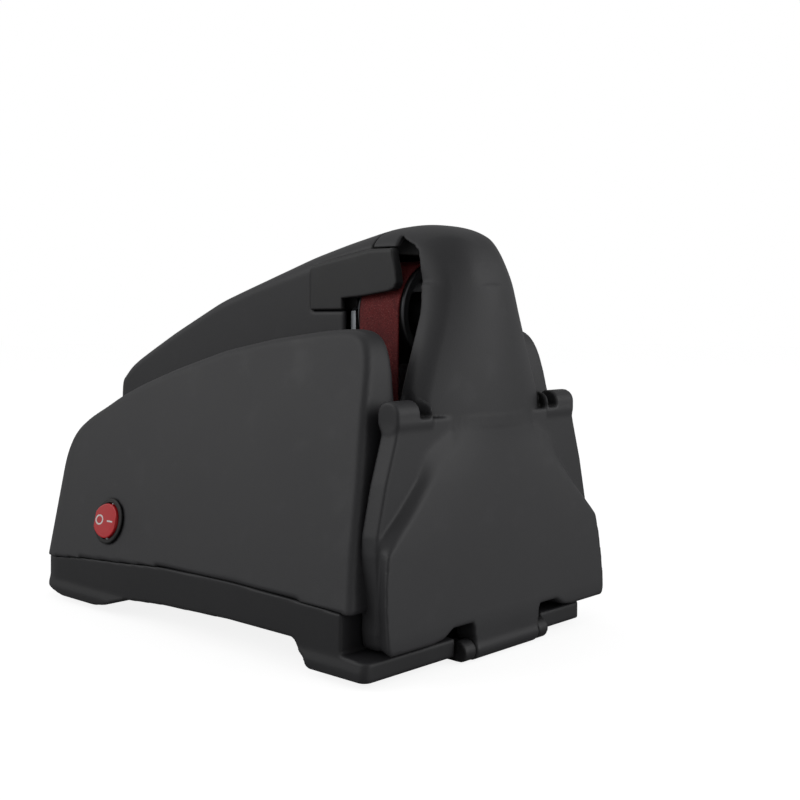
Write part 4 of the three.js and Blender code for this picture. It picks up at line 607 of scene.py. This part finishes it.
def make_door():
    space = Space(**GRIDS["door"])
    outline = scaled(DOOR_SHARES, FOOT_HALF_WIDTH, RIDGE_TOP)
    view = [(-FAR, outline[0][1]), *outline, (-FAR, outline[-1][1])]
    face = space.outline(view, space.side, space.h)
    layer = meet(face, between(space.s, RECESS_FLOOR, DOOR_REAR), DOOR_ROUND["layer"])
    hollow_heights = between(space.h, DOOR_WAVE + DOOR_RIM["low"], DOOR_LEVEL - DOOR_RIM["high"])
    hollow = meet(meet(face + DOOR_RIM["side"], hollow_heights), RECESS_FLOOR + DOOR_SKIN - space.s)
    core_heights = (DOOR_WAVE + DOOR_RIM["low"], DOOR_LEVEL + CORE_RISE)
    core = space.block((RECESS_FLOOR + DOOR_SKIN, ROOF_SEAM), (ACROSS, RIDGE_HALF_WIDTH), core_heights)
    raised = panel_form(space)
    panel = cut(meet(raised, space.s - PANEL_REAR - PANEL_OVERLAP), meet(raised + NOSE_SKIN, core))
    door = join(cut(layer, hollow), panel, DOOR_ROUND["panel_join"])

    ear_sizes = between(space.s, EAR["front"], EAR["rear"]), between(space.h, EAR["low"], EAR["high"])
    ear_width = between(space.side, EAR["inner"], EAR["outer"])
    ears = meet(meet(*ear_sizes, DOOR_ROUND["ear_end"]), ear_width, DOOR_ROUND["ear"])
    whole_nose = nose_form(space)
    nose = cut(whole_nose, whole_nose + NOSE_SKIN)
    nose = meet(meet(nose, NOSE_LOW - space.h), space.s - ROOF_SEAM + GAP, DOOR_ROUND["roof_seam"])
    nose = cut(nose, behind_nose(space), DOOR_ROUND["nose_edge"])
    door = join(join(door, ears, DOOR_ROUND["ear"]), nose, DOOR_ROUND["nose_join"])
    notch_sides, notch_heights = (NOTCH["inner"], NOTCH["outer"]), (DOOR_LEVEL, RIDGE_TOP)
    notches = space.block((-FAR, NOTCH["rear"]), notch_sides, notch_heights, DOOR_ROUND["notch_corner"])
    door = cut(cut(door, core), notches, DOOR_ROUND["notch"])

    about_pin = about_hinge(space)
    strap_height = between(space.h, HINGE["z"], TONGUE["top"])
    strap = meet(between(space.s, TONGUE["front"], TONGUE["rear"]), strap_height)
    tongue = join(about_pin - HINGE["radius"], strap)
    tongue = meet(tongue, space.side - TONGUE["half_width"], DOOR_ROUND["tongue"])
    door = join(door, tongue, DOOR_ROUND["tongue_join"])
    return space.mesh("door_shell", cut(door, about_pin - PIN_BORE))


def make_guard():
    """Two cheeks with thick front edges, joined by a web behind the window."""
    space = Space(**GRIDS["guard"])
    cheek = [
        *scaled(GUARD_SHARES, GUARD["rear"], GUARD["top"]),
        (ROOF_SEAM, GUARD["top"]), (GUARD["rear"], GUARD["top_rear"]),
        (GUARD["rear"], GUARD["low_rear"]), (WINDOW_REAR, GUARD["low_rear"]),
    ]
    outer = RIDGE_HALF_WIDTH + GUARD["proud"]
    view = space.outline(cheek, space.s, space.h)
    shoulder = meet(space.side - outer, space.h - guard_top(space), GUARD_ROUND["shoulder"])
    cheeks = meet(meet(view, outer - GUARD["thick"] - space.side), shoulder, GUARD_ROUND["cheek"])
    lip_sides = meet(shoulder, outer - GUARD_LIP["thick"] - space.side)
    lips = meet(meet(view, lip_sides, GUARD_ROUND["cheek"]), space.s - GUARD_LIP["rear"], GUARD_ROUND["lip"])
    cheeks = join(cheeks, lips, GUARD_ROUND["lip"])
    web_sides = (ACROSS, outer - GUARD_WEB["inside"])
    web_heights = (GUARD["low_rear"], GUARD["top_rear"] - GUARD_WEB["below_top"])
    web = space.block((GUARD["rear"] - SKIN, GUARD["rear"]), web_sides, web_heights)
    return space.mesh("guard_shell", join(cheeks, web, GUARD_ROUND["lip"]))


# The belt and the top wheel inside it.


def arc(middle, radius, start, end, steps):
    turns = [start + (end - start) * i / steps for i in range(steps + 1)]
    return [(radius * math.cos(turn), middle + radius * math.sin(turn)) for turn in turns]


def belt_path(grow):
    """One closed line around the top roller and the pulley, at a distance outside them."""
    leaves = -math.asin((TOP_ROLLER["radius"] - PULLEY["radius"]) / (TOP_ROLLER["z"] - PULLEY["z"]))
    turns = ((TOP_ROLLER, math.pi / 2, leaves), (PULLEY, leaves, -math.pi / 2))
    far = [
        place for wheel, start, end in turns
        for place in arc(wheel["z"], wheel["radius"] + grow, start, end, BELT["arc_steps"])
    ]
    return far + [(-y, z) for y, z in reversed(far[1:-1])]


def ring_faces(rings, size):
    """Quads between rings of points, the last joined to the first."""
    faces = []
    for r in range(rings):
        after = (r + 1) % rings
        for i in range(size):
            j = (i + 1) % size
            faces.append((r * size + i, r * size + j, after * size + j, after * size + i))
    return np.array(faces)


def make_belt():
    """A closed band with rounded edges: its section is repeated all along the path."""
    half, edge = BELT["width"] / 2, BELT["thick"] / 2
    turns = np.linspace(0, math.pi, BELT["rim_points"])
    rim = [(half - edge + edge * math.sin(a), edge - edge * math.cos(a)) for a in turns]
    section = rim + [(-s, rise) for s, rise in reversed(rim)]
    paths = [belt_path(GAP + rise) for _, rise in section]
    points = [
        (FRONT_X - BELT["middle"] - s, *path[i])
        for i in range(len(paths[0])) for (s, _), path in zip(section, paths)
    ]
    lift = np.array((0, 0, BASE_LIFT))
    return object_of("belt_band", (np.array(points) + lift) * MM, ring_faces(len(paths[0]), len(section)))


def make_top_roller():
    """A turned wheel with a flange at its rear end and a bearing's seat at the front end of its hub."""
    radius, length, edge, hub = TOP_ROLLER["radius"], ROLLER["length"], ROLLER["edge"], TOP_ROLLER["hub"]
    flange, seat, inner = radius + ROLLER["flange"], ROLLER["seat_radius"], radius - TOP_ROLLER["rim"]
    floor, bore = length - ROLLER["seat_depth"], ROLLER["bore"]
    low, high = (length - TOP_ROLLER["web"]) / 2, (length + TOP_ROLLER["web"]) / 2
    profile = [
        (bore, 0), (hub - edge, 0), (hub, edge), (hub, low), (inner, low), (inner, edge), (inner + edge, 0),
        (flange - edge, 0), (flange, edge), (flange, ROLLER["flange_width"] - edge),
        (radius, ROLLER["flange_width"]), (radius, length - edge), (radius - edge, length),
        (inner + edge, length), (inner, length - edge), (inner, high), (hub, high), (hub, length - edge),
        (hub - edge, length), (seat + edge, length), (seat, length - edge), (seat, floor), (bore, floor),
    ]
    rear = BELT["middle"] + length / 2
    points = []
    for turn in [2 * math.pi * i / ROLLER["facets"] for i in range(ROLLER["facets"])]:
        for r, forward in profile:
            across, up = r * math.cos(turn), r * math.sin(turn)
            points.append((FRONT_X - rear + forward, across, TOP_ROLLER["z"] + BASE_LIFT + up))
    made = object_of("top_wheel", np.array(points) * MM, ring_faces(ROLLER["facets"], len(profile)))
    made.data.set_sharp_from_angle(angle=math.radians(SHARP_ANGLE))
    return made


# Switch: a round bezel with a rocker in it, made about its own axis and set on the side wall.

ON_WALL = Matrix.Translation((
    (FRONT_X - SWITCH["back"]) * MM, -half_width_at(SWITCH["z"]) * MM, (SWITCH["z"] + BASE_LIFT) * MM,
)) @ Matrix.Rotation(math.pi / 2 - LEAN_ANGLE, 4, "X")
PIN = Matrix.Translation((0, 0, ROCKER["pin_depth"] * MM))
ON_ROCKER = ON_WALL @ PIN.inverted() @ Matrix.Rotation(math.radians(ROCKER["tip"]), 4, "Y") @ PIN


class Bench(Space):
    """The same kind of grid about a piece's own axis, in which h is the height above the wall."""

    def __init__(self, half, h, step):
        super().__init__((FRONT_X - half, FRONT_X + half), (-half, half), h, step)
        self.x = FRONT_X - self.s
        self.radius = np.hypot(self.x, self.y)

    def mesh(self, name, field, place):
        made = super().mesh(name, field)
        made.data.transform(place @ Matrix.Translation((0, 0, -BASE_LIFT * MM)))
        return made


def make_switch_bezel():
    bench = Bench(**BENCHES["bezel"])
    rim = meet(bench.radius - SWITCH["bezel"], between(bench.h, GAP, SWITCH["proud"]), SWITCH_ROUND["rim"])
    barrel_heights = between(bench.h, -SWITCH["depth"], SWITCH["proud"])
    body = meet(bench.radius - SWITCH["body"], barrel_heights, SWITCH_ROUND["body"])
    well = meet(bench.radius - SWITCH["well"], -SWITCH["well_depth"] - bench.h, SWITCH_ROUND["well"])
    bezel = cut(join(rim, body, SWITCH_ROUND["join"]), well, SWITCH_ROUND["well_edge"])
    return bench.mesh("switch_rim", bezel, ON_WALL)


def make_rocker():
    bench = Bench(**BENCHES["rocker"])
    radius, top, dish = ROCKER["radius"], ROCKER["top"], ROCKER["dish"]
    disc = meet(bench.radius - radius, between(bench.h, -ROCKER["low"], top), ROCKER_ROUND["rim"])
    barrel = np.hypot(bench.x, bench.h + ROCKER["pin_depth"]) - radius - GAP / 2
    hollow = np.hypot(bench.x, bench.h - top + ROCKER["dish_depth"] - dish) - dish
    body = cut(meet(disc, barrel, ROCKER_ROUND["barrel"]), hollow, ROCKER_ROUND["dish"])
    return bench.mesh("rocker_cap", body, ON_ROCKER)


# Materials.


class Value:
    """A number, colour or vector that varies over a surface, with Python's operators for numbers."""

    def __init__(self, nodes, socket):
        self.nodes, self.socket = nodes, socket

    def maths(self, operation, first, second=0.0):
        return self.nodes.node("ShaderNodeMath", {"operation": operation}, {0: first, 1: second})

    def __add__(self, other):
        return self.maths("ADD", self, other)

    def __radd__(self, other):
        return self.maths("ADD", other, self)

    def __sub__(self, other):
        return self.maths("SUBTRACT", self, other)

    def __rsub__(self, other):
        return self.maths("SUBTRACT", other, self)

    def __mul__(self, other):
        return self.maths("MULTIPLY", self, other)

    def __rmul__(self, other):
        return self.maths("MULTIPLY", other, self)

    def __abs__(self):
        return self.maths("ABSOLUTE", self)

    def __lt__(self, other):
        return self.maths("LESS_THAN", self, other)

    def step(self, low, high):
        """0 below low, 1 above high, smooth between them."""
        inputs = {"Value": self, "From Min": low, "From Max": high}
        return self.nodes.node("ShaderNodeMapRange", {"interpolation_type": "SMOOTHSTEP"}, inputs)


class Nodes:
    """The nodes of a material or of the sky."""

    def __init__(self, tree):
        self.tree = tree

    def node(self, kind, settings, inputs, output=0):
        made = self.tree.nodes.new(kind)
        for name, value in settings.items():
            setattr(made, name, value)
        for name, value in inputs.items():
            self.feed(made.inputs[name], value)
        return Value(self, made.outputs[output])

    def feed(self, socket, value):
        if isinstance(value, Value):
            self.tree.links.new(value.socket, socket)
        else:
            socket.default_value = value

    def seen_by_camera(self):
        """1 where the camera looks straight at it, 0 where it only lights or is reflected."""
        return self.node("ShaderNodeLightPath", {}, {}, output="Is Camera Ray")


class Paint(Nodes):
    """A material under construction."""

    def __init__(self, name, **constants):
        self.material = bpy.data.materials.new(name)
        self.material.use_nodes = True
        super().__init__(self.material.node_tree)
        self.surface = self.tree.nodes["Principled BSDF"]
        self.place = self.node("ShaderNodeTexCoord", {}, {}, output="Object")
        self.set(**constants)

    def set(self, **inputs):
        for name, value in inputs.items():
            self.feed(self.surface.inputs[name.replace("_", " ")], value)
        return self

    def noise(self, size, detail=2.0, stretch=None):
        """Noise whose lumps are about this many millimetres wide, or stretched along the axes."""
        place = self.place
        if stretch:
            place = self.node("ShaderNodeVectorMath", {"operation": "MULTIPLY"}, {0: place, 1: stretch})
        inputs = {"Vector": place, "Scale": 1 / (size * MM), "Detail": detail}
        return self.node("ShaderNodeTexNoise", {}, inputs)

    def open_air(self, reach):
        """How open the surface is, from 0 deep in a corner to 1, judged within this many millimetres."""
        settings = {"samples": 8, "only_local": True}
        return self.node("ShaderNodeAmbientOcclusion", settings, {"Distance": reach * MM}, output="AO")

    def from_point(self, point):
        """The offset from a point given in metres."""
        return self.node("ShaderNodeVectorMath", {"operation": "SUBTRACT"}, {0: self.place, 1: point})

    def along(self, offset, direction):
        inputs = {0: offset, 1: direction}
        return self.node("ShaderNodeVectorMath", {"operation": "DOT_PRODUCT"}, inputs, output="Value")

    def length(self, offset):
        return self.node("ShaderNodeVectorMath", {"operation": "LENGTH"}, {0: offset}, output="Value")

    def mix(self, share, first, second):
        """A colour between two colours, whose sockets follow those for numbers and vectors on this node."""
        inputs = {0: share, 6: first, 7: second}
        return self.node("ShaderNodeMix", {"data_type": "RGBA"}, inputs, output=2)

    def bump(self, height, depth):
        """A normal from a height, of which 1 stands for this many millimetres."""
        return self.node("ShaderNodeBump", {}, {"Height": height, "Distance": depth * MM, "Strength": 1.0})


def shade(red, green=None, blue=None):
    """A colour from its levels on a screen out of 255."""
    levels = (red, red if green is None else green, red if blue is None else blue)
    return (*[(level / 255) ** 2.2 for level in levels], 1)


def moulded_plastic(name, dark, light):
    """Fine spark-eroded grain, with faint cloudy changes of shade, a few rubbed places and painted shade in
    the corners.
    """
    paint = Paint(name)
    clouds = paint.noise(size=42, detail=3).step(0.3, 0.7)
    fine = paint.noise(size=0.7)
    rubbed = paint.noise(size=14, detail=4).step(0.55, 0.75)
    rough = PLASTIC_ROUGHNESS + 0.05 * fine + 0.04 * clouds - 0.05 * rubbed
    # Painted shade: where ambient occlusion finds a corner or crease, the colour is darkened towards
    # shade(14)
    outside_painted_shade = paint.open_air(PAINTED_SHADE_REACH).step(0.45, 0.95)
    colour = paint.mix(outside_painted_shade, shade(14), paint.mix(clouds, dark, light))
    return paint.set(Base_Color=colour, Roughness=rough, Normal=paint.bump(fine, GRAIN["plastic"])).material


def abrasive_paint():
    """Coarse mineral grain in red resin, dark between the grains and with pale flecks."""
    paint = Paint("belt_grain", Roughness=0.8)
    grains = paint.noise(size=0.55, detail=4)
    flecks = paint.noise(size=0.3).step(0.58, 0.68)
    patches = paint.noise(size=9, detail=3).step(0.35, 0.65)
    red = paint.mix(patches, shade(96, 24, 27), shade(112, 32, 33))
    flecked = paint.mix(flecks, red, shade(168, 92, 88))
    colour = paint.mix(grains.step(0.3, 0.45), shade(48, 10, 14), flecked)
    return paint.set(Base_Color=colour, Normal=paint.bump(grains, GRAIN["belt"])).material


def rocker_paint():
    """Red rocker with a white ring printed on its rear half and a white bar on its front half."""
    paint = Paint("rocker_red")
    forward, upward = (tuple(ON_ROCKER.col[k][:3]) for k in (0, 1))

    def from_mark(x):
        place = Vector((x, 0, ROCKER["top"] - ROCKER["mark_drop"])) * MM
        offset = paint.from_point(tuple(ON_ROCKER @ place))
        return paint.along(offset, forward), paint.along(offset, upward)

    across, up = from_mark(ROCKER["ring_x"])
    distance = paint.length(paint.node("ShaderNodeCombineXYZ", {}, {"X": across, "Y": up}))
    ring = abs(distance - ROCKER["ring_radius"] * MM) < ROCKER["mark"] / 2 * MM
    across, up = from_mark(ROCKER["bar_x"])
    bar = (abs(across) < ROCKER["bar_half"] * MM) * (abs(up) < ROCKER["mark"] / 2 * MM)
    clouds = paint.noise(size=5, detail=3)
    red = paint.mix(clouds, shade(200, 36, 42), shade(208, 42, 47))
    colour = paint.mix(ring + bar, red, shade(235, 228, 226))
    normal = paint.bump(paint.noise(size=0.6), GRAIN["rocker"])
    return paint.set(Base_Color=colour, Roughness=0.32 + 0.08 * clouds, Normal=normal).material


def metal(name, dark, light, roughness, size, stretch=None):
    """Bare or plated metal with machining lines or a fine blotchy plating."""
    paint = Paint(name, Metallic=1.0)
    lines = paint.noise(size, 4, stretch)
    rough = roughness + 0.1 * paint.noise(size=12, detail=3) + 0.08 * lines
    colour = paint.mix(lines, dark, light)
    return paint.set(Base_Color=colour, Roughness=rough, Normal=paint.bump(lines, GRAIN["metal"])).material


def rubber_paint():
    """Black rubber with a little dust."""
    paint = Paint("foot_rubber")
    dust = paint.noise(size=3, detail=4)
    colour = paint.mix(dust.step(0.45, 0.75), shade(24), shade(38))
    rough = 0.75 + 0.15 * dust
    return paint.set(Base_Color=colour, Roughness=rough, Normal=paint.bump(dust, GRAIN["rubber"])).material


def board_paint():
    """Green lacquer with paler tracks under it."""
    paint = Paint("board_green", Roughness=0.35)
    tracks = paint.noise(size=3, detail=1, stretch=TRACKS).step(0.5, 0.54)
    colour = paint.mix(tracks, shade(31, 90, 58), shade(44, 112, 70))
    return paint.set(Base_Color=colour, Normal=paint.bump(tracks, GRAIN["board"])).material


def finishes():
    """One material for each material slot of the record."""
    return {
        "shell": moulded_plastic("housing_charcoal", shade(48, 48, 50), shade(52, 52, 54)),
        "tray": moulded_plastic("tray_charcoal", shade(38, 38, 40), shade(41, 41, 43)),
        "door": moulded_plastic("door_charcoal", shade(48, 48, 50), shade(52, 52, 54)),
        "guard": moulded_plastic("guard_charcoal", shade(42, 42, 43), shade(46, 46, 47)),
        "dark_plastic": moulded_plastic("switch_black", shade(20), shade(23)),
        "grey_plastic": moulded_plastic("fan_grey", shade(100, 103, 106), shade(112, 115, 118)),
        "red_plastic": rocker_paint(),
        "belt": abrasive_paint(),
        "rubber": rubber_paint(),
        "roller": metal("roller_grey", shade(88, 89, 91), shade(104, 105, 107), 0.42, 1.2, AROUND_X),
        "steel": metal("bright_steel", shade(165, 167, 170), shade(190, 192, 195), 0.25, 1.2, AROUND_X),
        "zinc": metal("zinc_plate", shade(150, 155, 160), shade(172, 176, 180), 0.35, 4),
        "iron": metal("dark_iron", shade(84, 87, 92), shade(100, 103, 108), 0.45, 3),
        "copper": metal("bare_copper", shade(175, 108, 60), shade(198, 128, 76), 0.3, 1.2, AROUND_X),
        "board": board_paint(),
    }


def dress():
    """Makes the visible pieces, sets them on their bodies and gives every shown solid its finish."""
    rows = [
        (make_housing(), "casing", "shell", "upper_housing"),
        (make_tray(), "casing", "tray", "base_tray"),
        (make_door(), "door", "door", "front_door"),
        (make_guard(), "casing", "guard", "belt_guard"),
        (make_belt(), "casing", "belt", "abrasive_belt"),
        (make_top_roller(), "top_belt_roller", "roller", "top_roller"),
        (make_switch_bezel(), "casing", "dark_plastic", "switch_bezel"),
        (make_rocker(), "rocker", "red_plastic", "switch_rocker"),
    ]
    paints = finishes()
    for piece, body, slot, node in rows:
        piece.data.materials.append(paints[slot])
        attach(piece, body)
        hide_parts(node)
    replaced = {row[3] for row in rows}
    slots = {part["node"]: part["material_slot"] for part in frame["record"]["subparts"]}
    for name, node in frame["nodes"].items():
        if name in replaced:
            continue
        for place in node.material_slots:
            place.material = paints[slots[name]]
        edges = node.modifiers.new("worn_edges", "BEVEL")
        edges.width, edges.segments = WORN_EDGE["width"] * MM, WORN_EDGE["segments"]
        edges.limit_method, edges.angle_limit = "ANGLE", math.radians(SHARP_ANGLE)
        edges.harden_normals = True


# Stage.


def link(name, data):
    made = bpy.data.objects.new(name, data)
    bpy.context.scene.collection.objects.link(made)
    return made


def look_along(thing, direction):
    thing.rotation_euler = direction.to_track_quat("-Z", "Y").to_euler()


def lay_floor():
    """A pale floor that is white to the camera and keeps the sharpener's shadow."""
    half = FLOOR_HALF
    corners = np.array([(-half, -half, 0), (half, -half, 0), (half, half, 0), (-half, half, 0)])
    floor = object_of("floor", corners, np.array([(0, 1, 2, 3)]))
    paint = Paint("floor_white", Roughness=0.9, Emission_Strength=FLOOR_GLOW)
    glow = paint.mix(paint.seen_by_camera(), shade(0), shade(255))
    paint.set(Base_Color=paint.mix(paint.noise(size=400), shade(150), shade(154)), Emission_Color=glow)
    floor.data.materials.append(paint.material)


def light_the_stage():
    """An even sky, white to the camera and dimmer as a light, and three large soft lights."""
    world = bpy.data.worlds.new("studio")
    bpy.context.scene.world = world
    world.use_nodes = True
    sky = Nodes(world.node_tree)
    levels = {"Value": sky.seen_by_camera(), "To Min": SKY_LEVEL, "To Max": 1.0}
    background = sky.tree.nodes["Background"]
    sky.feed(background.inputs["Strength"], sky.node("ShaderNodeMapRange", {}, levels))
    sky.feed(background.inputs["Color"], shade(255))
    for name, place, target, size, power in LIGHTS:
        light = bpy.data.lights.new(name, "AREA")
        light.shape, light.size, light.size_y = "RECTANGLE", *size
        light.energy = power
        lamp = link(name, light)
        lamp.location = place
        look_along(lamp, Vector(target) - Vector(place))


def place_camera():
    camera = link("camera", bpy.data.cameras.new("camera"))
    camera.data.sensor_width = SENSOR_WIDTH
    camera.data.lens = SENSOR_WIDTH * CAMERA["focal"] / PICTURE_WIDTH
    camera.location = Vector((FRONT_X + CAMERA["ahead"], CAMERA["side"], CAMERA["height"] + BASE_LIFT)) * MM
    yaw, pitch = math.radians(CAMERA["yaw"]), -math.atan(CAMERA["horizon_drop"] / CAMERA["focal"])
    ahead = (math.cos(yaw) * math.cos(pitch), math.sin(yaw) * math.cos(pitch), math.sin(pitch))
    look_along(camera, Vector(ahead))
    bpy.context.scene.camera = camera
    bpy.context.scene.view_settings.view_transform = "Standard"


dress()
lay_floor()
light_the_stage()
place_camera()
